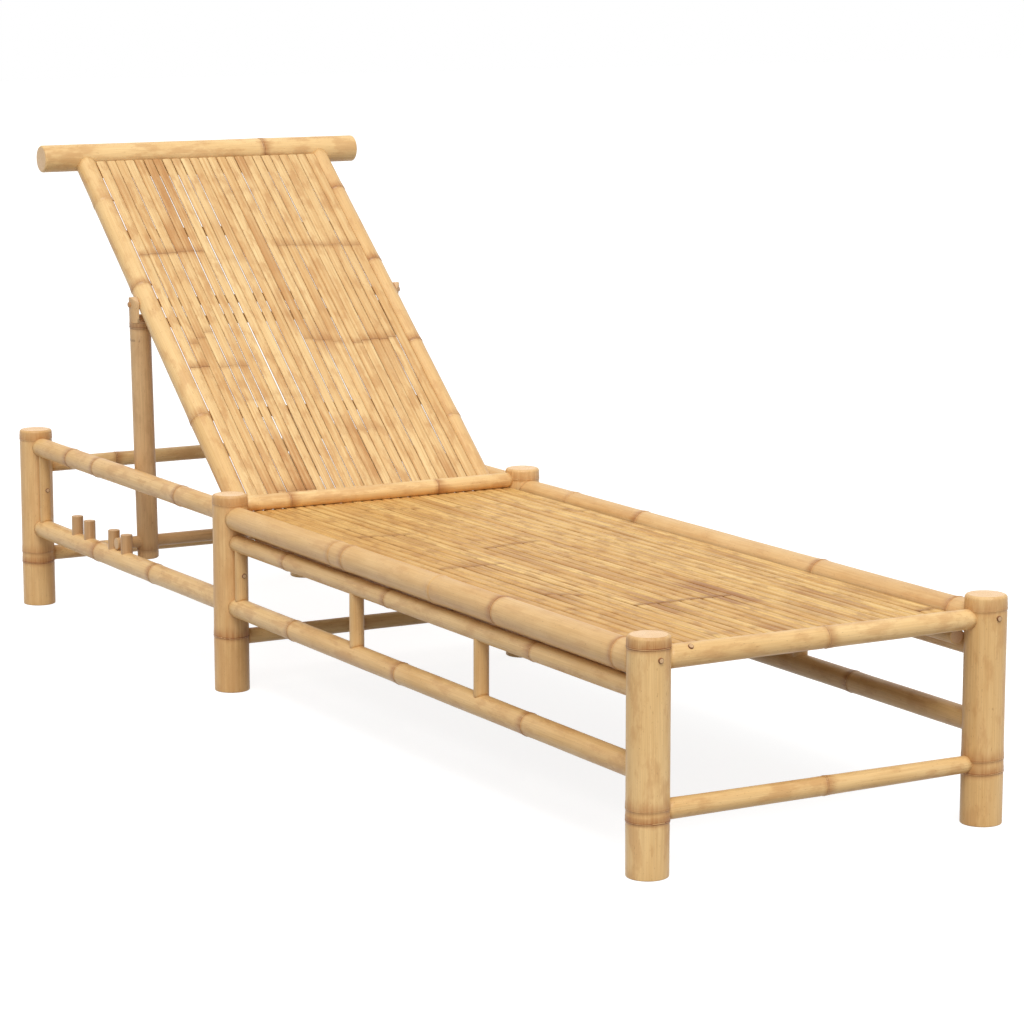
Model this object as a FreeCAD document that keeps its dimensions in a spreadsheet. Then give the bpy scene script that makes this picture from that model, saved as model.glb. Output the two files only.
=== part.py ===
import FreeCAD, Part
import math
import os
import Sketcher
from FreeCAD import Placement, Rotation, Vector

# Bamboo sun lounger: six posts, side and cross rails, a slatted seat, and a backrest on a hinge rod
# that stands on a swinging prop whose bar drops between pegs. Millimetres, +Z up, foot end towards -Y,
# head end towards +Y, origin on the floor under the middle of the whole.

SIZES = [
    # posts
    ("post_tall", 300.0, "height of the six posts"),
    ("post_dia", 56.0, "diameter of the foot and head posts"),
    ("mid_post_dia", 54.0, "diameter of the middle posts"),
    ("post_x", 252.7, "post axes from the middle plane"),
    ("foot_bay", 1181.0, "foot post to middle post"),
    ("head_bay", 772.0, "middle post to head post"),
    ("post_edge", 5.0, "broken edge of the post tops"),
    # side rails
    ("seat_rail_z", 265.0, "seat rail height"),
    ("seat_rail_foot_dia", 42.0, "seat rail at the foot end"),
    ("seat_rail_mid_dia", 36.0, "seat rail at the middle post"),
    ("under_rail_z", 228.0, "second rail height"),
    ("under_rail_dia", 25.5, "second rail diameter"),
    ("low_rail_z", 130.0, "lower side rail height, foot section"),
    ("low_rail_dia", 30.5, "lower side rail diameter, foot section"),
    ("head_rail_z", 271.0, "top side rail height, head section"),
    ("head_rail_dia", 32.0, "top side rail diameter, head section"),
    ("slot_rail_z", 132.5, "pegged rail height, head section"),
    ("slot_rail_dia", 32.0, "pegged rail diameter, head section"),
    # cross rails
    ("foot_cross_z", 269.0, "top cross rail height, foot end"),
    ("foot_cross_dia", 30.0, "top cross rail, left end"),
    ("foot_cross_thin", 26.5, "top cross rail, right end"),
    ("foot_low_z", 80.0, "lower cross rail height, foot end"),
    ("foot_low_dia", 27.0, "lower cross rail, left end"),
    ("foot_low_thin", 22.5, "lower cross rail, right end"),
    ("mid_cross_z", 283.0, "cross bar height over the slat ends"),
    ("mid_cross_dia", 23.5, "cross bar diameter"),
    ("mid_low_z", 80.0, "lower cross rail height, middle"),
    ("mid_low_dia", 24.0, "lower cross rail diameter, middle"),
    ("head_cross_z", 237.0, "upper cross rail height, head end"),
    ("head_cross_dia", 24.5, "upper cross rail diameter, head end"),
    ("head_low_z", 85.0, "lower cross rail height, head end"),
    ("head_low_dia", 25.0, "lower cross rail diameter, head end"),
    # joints of the poles
    ("tenon_dia", 16.0, "tenon on each rail end"),
    ("tenon_stop", 12.0, "side rail tenon end, short of the post axis"),
    ("cross_tenon_past", 10.0, "cross rail tenon end, past the post axis"),
    ("tenon_root", 48.0, "tenon root from the post axis"),
    ("seat_gap", 0.2, "play of a saddle on its post or rail"),
    ("pin_gap", 0.05, "play round a tenon, pin or rod"),
    # struts and thin poles
    ("strut_dia", 21.0, "struts under the second rail"),
    ("strut_one", 411.0, "first strut from the foot post"),
    ("strut_two", 767.0, "second strut from the foot post"),
    ("guard_dia", 20.0, "thin poles beside the posts"),
    ("pin_dia", 6.0, "dowel pins"),
    ("pin_proud", 1.5, "dowel head above the surface"),
    ("pin_deep", 14.0, "dowel reach into a post"),
    ("post_pin_rise", 3.0, "dowel above the axis of the tenon it locks"),
    ("post_pin_past", 1.5, "dowel end past that tenon"),
    ("cross_pin_x", 199.0, "dowel in the foot cross rail, from the middle plane"),
    ("cross_pin_long", 22.0, "length of that dowel"),
    ("cross_pin_lean", 40.0, "lean of that dowel from upright, degrees"),
    ("mid_guard_pin_z", 182.0, "dowel in the thin pole, middle"),
    ("head_guard_pin_z", 201.0, "dowel in the thin pole, head"),
    # seat
    ("slat_top", 271.0, "top of the seat slats"),
    ("slat_thick", 7.0, "seat slat thickness"),
    ("slat_side", 4.6, "seat slat thickness at its edges"),
    ("slat_wide", 15.6, "seat slat width"),
    ("slat_pitch", 16.4, "seat slat spacing"),
    ("slat_count", 28, "seat slats"),
    ("slat_end_gap", 1.0, "slat ends to the foot cross rail"),
    ("slat_post_gap", 1.5, "slats to the middle posts"),
    ("batten_dia", 20.0, "half-round battens under the seat"),
    ("batten_first", 130.0, "first batten from the foot post"),
    ("batten_pitch", 300.0, "batten spacing under the seat"),
    ("ledger_dia", 20.0, "ledger poles that carry the battens"),
    ("ledger_x", 227.5, "ledger axes from the middle plane"),
    ("ledger_start", 26.0, "ledger start from the foot post"),
    ("ledger_end_gap", 22.0, "ledger end from the middle post"),
    ("batten_end", 3.0, "batten ends past the ledger axis"),
    ("ledger_pin_first", 210.0, "first ledger dowel from the foot post"),
    ("ledger_pin_pitch", 370.0, "ledger dowel spacing"),
    ("ledger_pin_long", 28.0, "ledger dowel length, from the ledger axis"),
    # pegs
    ("peg_dia", 19.5, "pegs on the head side rails"),
    ("peg_top", 177.0, "top of the pegs"),
    ("peg_deep", 6.0, "peg foot above the rail axis"),
    ("slot_one", 418.0, "slot in use from the middle post"),
    ("slot_step", 152.0, "slot in use to the next slot"),
    ("slot_wide", 51.0, "peg spacing across a slot"),
    # backrest
    ("hinge_y", 54.0, "hinge axis behind the middle posts"),
    ("hinge_z", 269.8, "hinge axis height"),
    ("back_tilt", 40.06, "backrest above level, degrees"),
    ("back_long", 766.4, "hinge axis to headbar axis"),
    ("back_x", 211.6, "backrest rails from the middle plane"),
    ("back_rail_dia", 33.6, "backrest rail diameter"),
    ("headbar_dia", 46.0, "headbar diameter"),
    ("headbar_long", 568.8, "headbar length"),
    ("back_tenon_stop", 8.0, "rail tenon end, short of the headbar axis"),
    ("hinge_rod_dia", 16.0, "hinge rod diameter"),
    ("hinge_rod_in", 6.0, "hinge rod reach into the side rails"),
    ("back_batten_dia", 16.0, "round battens of the backrest"),
    ("back_batten_in", 9.0, "batten reach into the backrest rails"),
    ("back_batten_one", 185.0, "first batten from the hinge"),
    ("back_batten_two", 387.0, "second batten from the hinge"),
    ("back_batten_three", 584.0, "third batten from the hinge"),
    ("back_batten_four", 38.4, "fourth batten from the headbar"),
    ("back_slat_thick", 6.5, "backrest slat thickness"),
    ("back_slat_side", 4.4, "backrest slat thickness at its edges"),
    ("back_slat_wide", 15.3, "backrest slat width"),
    ("back_slat_pitch", 16.2, "backrest slat spacing"),
    ("back_slat_count", 24, "backrest slats"),
    ("back_slat_start", 3.0, "slat foot from the hinge axis"),
    ("back_slat_gap", 1.0, "slat head to the headbar"),
    ("back_slat_seat", 0.2, "slats above the battens"),
    # prop
    ("prop_along", 436.0, "prop rod from the hinge along the backrest"),
    ("prop_below", 6.0, "prop rod below the rail axis"),
    ("leg_dia", 34.4, "prop leg diameter"),
    ("leg_top_x", 223.0, "leg axis at the rod"),
    ("leg_low_x", 204.9, "leg axis at the bar"),
    ("leg_below", 27.0, "leg end below the bar axis"),
    ("tongue_gap", 1.0, "tongue face to the backrest rail"),
    ("tongue_half", 9.0, "half the tongue's width and its top radius"),
    ("shoulder_down", 29.0, "leg shoulder below the rod"),
    ("shoulder_relief", 2.0, "shoulder to the backrest rail"),
    ("fold_relief", 3.0, "degrees that the leg may fold towards the rail"),
    ("bar_dia", 19.5, "prop bar diameter"),
    ("bar_half", 260.4, "half the prop bar's length"),
    ("bar_clear", 0.3, "prop bar above the pegged rails"),
    ("rod_dia", 14.0, "prop rod diameter"),
    ("rod_tip_dia", 8.0, "prop rod where it passes the tongues"),
    ("rod_proud", 2.0, "rod tip outside the tongue"),
]

doc = FreeCAD.newDocument("sun_lounger")
sheet = doc.addObject("Spreadsheet::Sheet", "sizes")
for row, (alias, value, note) in enumerate(SIZES, start=1):
    sheet.set(f"A{row}", alias)
    sheet.set(f"B{row}", str(value))
    sheet.set(f"C{row}", note)
    sheet.setAlias(f"B{row}", alias)
doc.recompute()


def size(alias):
    """The number that the sheet holds under this alias."""
    return float(sheet.get(alias))


ALONG_X = Rotation(Vector(0, 1, 0), 90)
ALONG_Y = Rotation(Vector(1, 0, 0), -90)
ALONG_Z = Rotation()
SIDES = (("left", -1), ("right", 1))

# stations along the lounger; the dowel heads at the foot end count in the whole's length
foot_y = -(size("foot_bay") + size("head_bay") - size("pin_proud")) / 2
mid_y = foot_y + size("foot_bay")
head_y = mid_y + size("head_bay")
post_x = size("post_x")

# the backrest's frame: origin on the hinge axis, +Y up along its rails, +Z out of the slats' face
hinge = Vector(0, mid_y + size("hinge_y"), size("hinge_z"))
BACK = Placement(hinge, Rotation(Vector(1, 0, 0), size("back_tilt")))

parts = []


def bind(thing, **sizes):
    """Ties properties of a feature to expressions on the sheet."""
    for name, words in sizes.items():
        thing.setExpression(name, words)


def keep(thing, label):
    """Names a finished piece and puts it on the list of pieces."""
    thing.Label = label
    parts.append(thing)
    return thing


def rod(name, dia, length, at, turn=ALONG_Z, frame=Placement()):
    """A plain cylinder whose diameter and length are expressions."""
    thing = doc.addObject("Part::Cylinder", name)
    bind(thing, Radius=f"({dia}) / 2", Height=length)
    thing.Placement = frame * Placement(at, turn)
    return thing


def whittled(name, across, length, at, turn=ALONG_Z):
    """A dowel or tenon cut to eight sides, or its hole; across is measured over the corners."""
    thing = doc.addObject("Part::Prism", name)
    thing.Polygon = 8
    bind(thing, Circumradius=f"({across}) / 2", Height=length)
    thing.Placement = Placement(at, turn)
    return thing


def group(name, things):
    """Separate solids that share one piece's name, or the tools of one cut."""
    result = doc.addObject("Part::Compound", name)
    result.Links = things
    return result


def cut(name, base, things):
    result = doc.addObject("Part::Cut", name)
    result.Base = base
    result.Tool = things[0] if len(things) == 1 else group(name + "_tools", things)
    return result


def fuse(name, things):
    result = doc.addObject("Part::MultiFuse", name)
    result.Shapes = things
    return result


def sketch_on(body, name, role):
    """A sketch on one of the body's own origin planes."""
    sketch = body.newObject("Sketcher::SketchObject", name)
    plane = [feature for feature in body.Origin.OriginFeatures if feature.Role == role][0]
    sketch.AttachmentSupport = (plane, "")
    sketch.MapMode = "FlatFace"
    return sketch


def outline(sketch, corners):
    """A closed polygon; each corner is a pair of expressions, and None means on the axis."""
    count = len(corners)
    spots = [Vector(10 + i if across else 0, 10 * i if up else 0, 0)
             for i, (across, up) in enumerate(corners)]
    for i in range(count):
        sketch.addGeometry(Part.LineSegment(spots[i], spots[(i + 1) % count]), False)
    for i in range(count):
        sketch.addConstraint(Sketcher.Constraint("Coincident", i, 2, (i + 1) % count, 1))
    for i, (across, up) in enumerate(corners):
        for kind, words, axis, start in (("DistanceX", across, -2, spots[i].x), ("DistanceY", up, -1, spots[i].y)):
            if words is None:
                sketch.addConstraint(Sketcher.Constraint("PointOnObject", i, 1, axis))
            else:
                number = sketch.addConstraint(Sketcher.Constraint(kind, -1, 1, i, 1, start))
                sketch.setExpression(f"Constraints[{number}]", words)


def pole(name, length, low_dia, high_dia, at, turn=ALONG_Z, frame=Placement(), nodes=(), high_edge=None):
    """A bamboo pole: a half profile turned about its axis, which steps from one diameter to the other.

    The steps are at the culm's nodes, at shares of the length. The upper end may have a broken edge.
    """
    body = doc.addObject("PartDesign::Body", name)
    sketch = sketch_on(body, name + "_profile", "XZ_Plane")
    low, high = f"({low_dia}) / 2", f"({high_dia}) / 2"
    corners = [(None, None), (low, None)]
    for i, share in enumerate(nodes):
        height = f"({length}) * {share}"
        corners += [(f"{low} + ({high} - {low}) * {i} / {len(nodes)}", height),
                    (f"{low} + ({high} - {low}) * {i + 1} / {len(nodes)}", height)]
    if high_edge:
        corners += [(high, f"{length} - {high_edge}"), (f"{high} - {high_edge}", length)]
    else:
        corners += [(high, length)]
    corners += [(None, length)]
    outline(sketch, corners)
    turned = body.newObject("PartDesign::Revolution", name + "_turned")
    turned.Profile = sketch
    turned.ReferenceAxis = (sketch, ["V_Axis"])
    turned.Angle = 360
    body.Placement = frame * Placement(at, turn)
    return body


def slats(name, wide, thick, side, count, pitch, length, at, frame=Placement()):
    """A row of split-bamboo slats: flat below, slightly crowned above, repeated along X."""
    body = doc.addObject("PartDesign::Body", name)
    sketch = sketch_on(body, name + "_section", "XZ_Plane")
    half, edge, top = size(wide) / 2, size(side), size(thick)
    crown = top - edge
    radius = (half * half + crown * crown) / (2 * crown)
    middle = Vector(0, top - radius, 0)
    start = math.atan2(edge - middle.y, half)
    arc = Part.ArcOfCircle(Part.Circle(middle, Vector(0, 0, 1), radius), start, math.pi - start)
    corners = [Vector(-half, edge, 0), Vector(-half, 0, 0), Vector(half, 0, 0), Vector(half, edge, 0)]
    for i in range(3):
        sketch.addGeometry(Part.LineSegment(corners[i], corners[i + 1]), False)
    sketch.addGeometry(arc, False)
    for first, second, other, end in ((0, 2, 1, 1), (1, 2, 2, 1), (2, 2, 3, 1), (3, 2, 0, 1)):
        sketch.addConstraint(Sketcher.Constraint("Coincident", first, second, other, end))
    sketch.addConstraint(Sketcher.Constraint("Symmetric", 0, 2, 2, 1, -2))
    sketch.addConstraint(Sketcher.Constraint("PointOnObject", 0, 2, -1))
    sketch.addConstraint(Sketcher.Constraint("Vertical", 0))
    sketch.addConstraint(Sketcher.Constraint("Vertical", 2))
    for kind, edges, words, start in (("DistanceX", (1, 1, 1, 2), f"sizes.{wide}", 2 * half),
                                      ("DistanceY", (2, 1, 2, 2), f"sizes.{side}", edge)):
        number = sketch.addConstraint(Sketcher.Constraint(kind, *edges, start))
        sketch.setExpression(f"Constraints[{number}]", words)
    number = sketch.addConstraint(Sketcher.Constraint("Radius", 3, radius))
    rise = f"(sizes.{thick} - sizes.{side})"
    sketch.setExpression(f"Constraints[{number}]", f"(sizes.{wide} ^ 2 / 4 + {rise} ^ 2) / (2 * {rise})")
    pad = body.newObject("PartDesign::Pad", name + "_length")
    pad.Profile = sketch
    pad.Reversed = True
    bind(pad, Length=length)
    row = body.newObject("PartDesign::LinearPattern", name + "_row")
    row.Originals = [pad]
    row.Direction = (sketch, ["H_Axis"])
    bind(row, Length=f"sizes.{pitch} * (sizes.{count} - 1)", Occurrences=f"sizes.{count}")
    body.Tip = row
    left = -size(pitch) * (size(count) - 1) / 2
    body.Placement = frame * Placement(Vector(left, 0, 0) + at, Rotation())
    return body


def post_cylinder(name, dia, x, y):
    """The space of a post, with the play that a saddle has round it."""
    return rod(name, f"sizes.{dia} + 2 * sizes.seat_gap", "sizes.post_tall", Vector(x, y, 0))


POSTS = {"foot": (foot_y, "post_dia"), "mid": (mid_y, "mid_post_dia"), "head": (head_y, "post_dia")}

# name, bay, height, diameter at the foot side and at the head side, nodes where the culm narrows (left, right)
SIDE_RAILS = (
    ("seat_rail", "foot", "seat_rail_z", "seat_rail_foot_dia", "seat_rail_mid_dia",
     (0.052, 0.32, 0.716), (0.09, 0.38, 0.706)),
    ("under_rail", "foot", "under_rail_z", "under_rail_dia", "under_rail_dia", (), ()),
    ("low_rail", "foot", "low_rail_z", "low_rail_dia", "low_rail_dia", (), ()),
    ("head_rail", "head", "head_rail_z", "head_rail_dia", "head_rail_dia", (), ()),
    ("slot_rail", "head", "slot_rail_z", "slot_rail_dia", "slot_rail_dia", (), ()),
)

# name, station, height, diameter at the left and at the right, nodes where the culm narrows
CROSS_RAILS = (
    ("foot_cross", "foot", "foot_cross_z", "foot_cross_dia", "foot_cross_thin", (0.526,)),
    ("foot_low_cross", "foot", "foot_low_z", "foot_low_dia", "foot_low_thin", (0.526,)),
    ("mid_cross", "mid", "mid_cross_z", "mid_cross_dia", "mid_cross_dia", ()),
    ("mid_low_cross", "mid", "mid_low_z", "mid_low_dia", "mid_low_dia", ()),
    ("head_cross", "head", "head_cross_z", "head_cross_dia", "head_cross_dia", ()),
    ("head_low_cross", "head", "head_low_z", "head_low_dia", "head_low_dia", ()),
)

BAYS = {"foot": ("foot", "mid", "sizes.foot_bay"), "head": ("mid", "head", "sizes.head_bay")}

# holes that the posts and rails receive, gathered while what fits in them is built
post_holes = {}
rail_holes = {}


def tenon_and_hole(name, at, turn, reach, side_stop):
    """A tenon from the post's middle out into the rail, and the hole that it fits."""
    length = f"sizes.tenon_root - {side_stop}"
    tenon = whittled(name + "_tenon", "sizes.tenon_dia", length, at, turn)
    hole = whittled(name + "_mortise", "sizes.tenon_dia + 2 * sizes.pin_gap", reach, at, turn)
    return tenon, hole


def side_rails():
    for name, bay, height, near_dia, far_dia, left_nodes, right_nodes in SIDE_RAILS:
        near, far, length = BAYS[bay]
        for side, sign in SIDES:
            label = f"{name}_{side}"
            x, z = sign * post_x, size(height)
            nodes = left_nodes if sign < 0 else right_nodes
            blank = pole(label + "_pole", length, f"sizes.{near_dia}", f"sizes.{far_dia}",
                         Vector(x, POSTS[near][0], z), ALONG_Y, nodes=nodes)
            shoulders = []
            tenons = []
            for station, sense in ((near, 1), (far, -1)):
                y, dia = POSTS[station]
                shoulders.append(post_cylinder(f"{label}_{station}_saddle", dia, x, y))
                turn = ALONG_Y if sense > 0 else Rotation(Vector(1, 0, 0), 90)
                start = Vector(x, y + sense * size("tenon_stop"), z)
                tenon, hole = tenon_and_hole(f"{label}_{station}", start, turn, "sizes.tenon_root", "sizes.tenon_stop")
                tenons.append(tenon)
                post_holes.setdefault((station, side), []).append(hole)
            saddled = cut(label + "_saddled", blank, shoulders)
            rail_holes.setdefault(label, [])
            yield label, fuse(label + "_tenoned", [saddled] + tenons)


def cross_rails():
    for name, station, height, left_dia, right_dia, nodes in CROSS_RAILS:
        y, dia = POSTS[station]
        z = size(height)
        blank = pole(name + "_pole", "2 * sizes.post_x", f"sizes.{left_dia}", f"sizes.{right_dia}",
                     Vector(-post_x, y, z), ALONG_X, nodes=nodes)
        shoulders = []
        tenons = []
        for side, sign in SIDES:
            x = sign * post_x
            shoulders.append(post_cylinder(f"{name}_{side}_saddle", dia, x, y))
            turn = ALONG_X if sign < 0 else Rotation(Vector(0, 1, 0), -90)
            start = Vector(x + sign * size("cross_tenon_past"), y, z)
            tenon, hole = tenon_and_hole(f"{name}_{side}", start, turn, "sizes.tenon_root", "-sizes.cross_tenon_past")
            tenons.append(tenon)
            post_holes.setdefault((station, side), []).append(hole)
        saddled = cut(name + "_saddled", blank, shoulders)
        rail_holes.setdefault(name, [])
        yield name, fuse(name + "_tenoned", [saddled] + tenons)


def pin_pair(name, at, turn, length):
    """A dowel and the hole that takes it."""
    pin = whittled(name, "sizes.pin_dia", length, at, turn)
    hole = whittled(name + "_hole", "sizes.pin_dia + 2 * sizes.pin_gap", length, at, turn)
    return pin, hole


def foot_post_pins():
    """Dowels from the foot end through the foot posts and the top cross rail's tenons."""
    pins = []
    for side, sign in SIDES:
        at = Vector(sign * post_x, foot_y - size("post_dia") / 2 - size("pin_proud"),
                    size("foot_cross_z") + size("post_pin_rise"))
        length = "sizes.post_dia / 2 + sizes.pin_proud + sizes.tenon_dia / 2 + sizes.post_pin_past"
        pin, hole = pin_pair(f"foot_pin_{side}", at, ALONG_Y, length)
        pins.append(pin)
        post_holes[("foot", side)].append(hole)
        rail_holes["foot_cross"].append(hole)
    keep(group("foot_post_pins_group", pins), "foot_post_pins")


def cross_rail_pin():
    """One dowel stands in the foot cross rail near its left end, leaning to the foot."""
    lean = Rotation(Vector(1, 0, 0), size("cross_pin_lean"))
    reach = size("foot_cross_dia") / 2 + size("pin_proud") - size("cross_pin_long")
    axis = Vector(-size("cross_pin_x"), foot_y, size("foot_cross_z"))
    pin, hole = pin_pair("cross_pin", axis + lean.multVec(Vector(0, 0, reach)), lean, "sizes.cross_pin_long")
    rail_holes["foot_cross"].append(hole)
    keep(pin, "foot_cross_pin")


def struts():
    """Short uprights between the second rail and the lower rail, hollowed at both ends to seat on them."""
    for number, place in (("one", "strut_one"), ("two", "strut_two")):
        for side, sign in SIDES:
            label = f"strut_{number}_{side}"
            at = Vector(sign * post_x, foot_y + size(place), size("low_rail_z"))
            blank = pole(label + "_pole", "sizes.under_rail_z - sizes.low_rail_z",
                         "sizes.strut_dia", "sizes.strut_dia", at)
            keep(cut(label, blank, rail_seats(label, at, "low_rail", "under_rail", "strut_dia")), label)


def rail_seats(label, at, lower, upper, dia):
    """The spaces of the rails below and above an upright that stands between them."""
    seats = []
    for rail in (lower, upper):
        start = Vector(at.x, at.y - size(dia), size(rail + "_z"))
        seats.append(rod(f"{label}_{rail}", f"sizes.{rail}_dia + 2 * sizes.seat_gap", f"2 * sizes.{dia}", start, ALONG_Y))
    return seats


def guard_poles():
    """Thin uprights against the foot side of the middle and head posts, each held by one dowel."""
    pins = []
    for station, lower, upper, pin_z in (("mid", "low_rail", "under_rail", "mid_guard_pin_z"),
                                         ("head", "slot_rail", "head_rail", "head_guard_pin_z")):
        y, dia = POSTS[station]
        stand = size(dia) / 2 + size("guard_dia") / 2 + size("seat_gap")
        for side, sign in SIDES:
            label = f"guard_pole_{station}_{side}"
            at = Vector(sign * post_x, y - stand, size(lower + "_z"))
            blank = pole(label + "_pole", f"sizes.{upper}_z - sizes.{lower}_z", "sizes.guard_dia", "sizes.guard_dia", at)
            start = Vector(at.x, at.y - size("guard_dia") / 2 - size("pin_proud"), size(pin_z))
            length = "sizes.pin_proud + sizes.guard_dia + sizes.seat_gap + sizes.pin_deep"
            pin, hole = pin_pair(f"{label}_pin", start, ALONG_Y, length)
            pins.append(pin)
            post_holes[(station, side)].append(hole)
            keep(cut(label, blank, rail_seats(label, at, lower, upper, "guard_dia") + [hole]), label)
    keep(group("guard_pole_pins_group", pins), "guard_pole_pins")


def pegs():
    """Four pegs on each pegged rail, two on each side of the two slots."""
    for side, sign in SIDES:
        row = []
        for slot in (0, 1):
            for step in (-1, 1):
                name = f"peg_{side}_{slot}_{'front' if step < 0 else 'back'}"
                y = mid_y + size("slot_one") + slot * size("slot_step") + step * size("slot_wide") / 2
                at = Vector(sign * post_x, y, size("slot_rail_z") + size("peg_deep"))
                tall = "sizes.peg_top - sizes.slot_rail_z - sizes.peg_deep"
                row.append(rod(name, "sizes.peg_dia", tall, at))
                hole = rod(name + "_hole", "sizes.peg_dia + 2 * sizes.pin_gap", tall, at)
                rail_holes[f"slot_rail_{side}"].append(hole)
        keep(group(f"pegs_{side}_group", row), f"pegs_{side}")


def seat():
    """Ledger poles pinned inside the seat rails, half-round battens on them, and slats on the battens."""
    batten_z = size("slat_top") - size("slat_thick")
    ledger_z = batten_z - size("batten_dia") / 2 - size("ledger_dia") / 2
    pins = []
    for side, sign in SIDES:
        ledger_start = Vector(sign * size("ledger_x"), foot_y + size("ledger_start"), ledger_z)
        blank = pole(f"ledger_{side}_pole", "sizes.foot_bay - sizes.mid_post_dia / 2 - sizes.ledger_start - sizes.ledger_end_gap",
                     "sizes.ledger_dia", "sizes.ledger_dia", ledger_start, ALONG_Y)
        across = Vector(sign * (post_x - size("ledger_x")), 0, size("seat_rail_z") - ledger_z)
        turn = Rotation(Vector(0, 0, 1), across)
        holes = []
        for i in range(3):
            y = foot_y + size("ledger_pin_first") + i * size("ledger_pin_pitch")
            at = Vector(sign * size("ledger_x"), y, ledger_z)
            pin, hole = pin_pair(f"ledger_pin_{side}_{i}", at, turn, "sizes.ledger_pin_long")
            pins.append(pin)
            holes.append(hole)
        rail_holes[f"seat_rail_{side}"].extend(holes)
        keep(cut(f"ledger_{side}_cut", blank, holes), f"ledger_{side}")
    keep(group("ledger_pins_group", pins), "ledger_pins")
    for i in range(4):
        name = f"seat_batten_{i + 1}"
        y = foot_y + size("batten_first") + i * size("batten_pitch")
        at = Vector(-size("ledger_x") - size("batten_end"), y, batten_z)
        whole = rod(name + "_round", "sizes.batten_dia", "2 * (sizes.ledger_x + sizes.batten_end)", at, ALONG_X)
        flat = doc.addObject("Part::Box", name + "_flat")
        bind(flat, Length="2 * (sizes.ledger_x + sizes.batten_end)", Width="sizes.batten_dia", Height="sizes.batten_dia / 2")
        flat.Placement = Placement(at - Vector(0, size("batten_dia") / 2, 0), Rotation())
        keep(cut(name + "_split", whole, [flat]), name)
    clear = "sizes.foot_cross_dia / 2 + sizes.slat_end_gap"
    row = slats("seat_slat_row", "slat_wide", "slat_thick", "slat_side", "slat_count", "slat_pitch",
                f"sizes.foot_bay - {clear}",
                Vector(0, foot_y + size("foot_cross_dia") / 2 + size("slat_end_gap"), batten_z))
    notches = []
    for side, sign in SIDES:
        notches.append(rod(f"slat_notch_{side}", "sizes.mid_post_dia + 2 * sizes.slat_post_gap", "sizes.post_tall",
                           Vector(sign * post_x, mid_y, 0)))
    keep(cut("seat_slats_notched", row, notches), "seat_slats")


def backrest():
    """Two rails on the hinge rod, the headbar on their tops, battens between them and slats on the battens."""
    back_x = size("back_x")
    rail_r = size("back_rail_dia") / 2
    rail_inner = back_x - rail_r
    spots = [size("back_batten_one"), size("back_batten_two"), size("back_batten_three"),
             size("back_long") - size("back_batten_four")]
    batten_half = rail_inner + size("back_batten_in")
    batten_length = "2 * (sizes.back_x - sizes.back_rail_dia / 2 + sizes.back_batten_in)"
    sockets = []
    for i, spot in enumerate(spots, start=1):
        at = Vector(-batten_half, spot, 0)
        batten = rod(f"back_batten_{i}_pole", "sizes.back_batten_dia", batten_length, at, ALONG_X, BACK)
        sockets.append(rod(f"back_batten_{i}_socket", "sizes.back_batten_dia + 2 * sizes.pin_gap",
                           batten_length, at, ALONG_X, BACK))
        keep(batten, f"back_batten_{i}")
    hinge_half = post_x - size("head_rail_dia") / 2 + size("hinge_rod_in")
    hinge_length = "2 * (sizes.post_x - sizes.head_rail_dia / 2 + sizes.hinge_rod_in)"
    at = Vector(-hinge_half, hinge.y, hinge.z)
    keep(rod("hinge_rod_pole", "sizes.hinge_rod_dia", hinge_length, at, ALONG_X), "hinge_rod")
    hinge_bore = rod("hinge_bore", "sizes.hinge_rod_dia + 2 * sizes.pin_gap", hinge_length, at, ALONG_X)
    rail_holes["head_rail_left"].append(hinge_bore)
    rail_holes["head_rail_right"].append(hinge_bore)
    rod_bore = rod("prop_rod_bore", "sizes.rod_dia + 2 * sizes.pin_gap", "2 * sizes.post_x",
                   Vector(-post_x, size("prop_along"), -size("prop_below")), ALONG_X, BACK)
    headbar_space = rod("headbar_space", "sizes.headbar_dia + 2 * sizes.seat_gap", "2 * sizes.post_x",
                        Vector(-post_x, size("back_long"), 0), ALONG_X, BACK)
    mortises = []
    for side, sign in SIDES:
        label = f"back_rail_{side}"
        blank = pole(label + "_pole", "sizes.back_long + sizes.back_rail_dia / 2",
                     "sizes.back_rail_dia", "sizes.back_rail_dia", Vector(sign * back_x, -rail_r, 0), ALONG_Y, BACK)
        start = BACK.multVec(Vector(sign * back_x, size("back_long") - size("back_tenon_stop"), 0))
        down = BACK.Rotation * Rotation(Vector(1, 0, 0), 90)
        tenon, mortise = tenon_and_hole(label, start, down, "sizes.tenon_root", "sizes.back_tenon_stop")
        mortises.append(mortise)
        saddled = cut(label + "_saddled", blank, [headbar_space])
        tenoned = fuse(label + "_tenoned", [saddled, tenon])
        keep(cut(label + "_bored", tenoned, sockets + [hinge_bore, rod_bore]), label)
    bar = pole("headbar_pole", "sizes.headbar_long", "sizes.headbar_dia", "sizes.headbar_dia",
               Vector(-size("headbar_long") / 2, size("back_long"), 0), ALONG_X, BACK)
    keep(cut("headbar_bored", bar, mortises), "headbar")
    base = size("back_batten_dia") / 2 + size("back_slat_seat")
    length = "sizes.back_long - sizes.headbar_dia / 2 - sizes.back_slat_gap - sizes.back_slat_start"
    row = slats("back_slat_row", "back_slat_wide", "back_slat_thick", "back_slat_side", "back_slat_count",
                "back_slat_pitch", length, Vector(0, size("back_slat_start"), base), BACK)
    keep(row, "back_slats")


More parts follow.
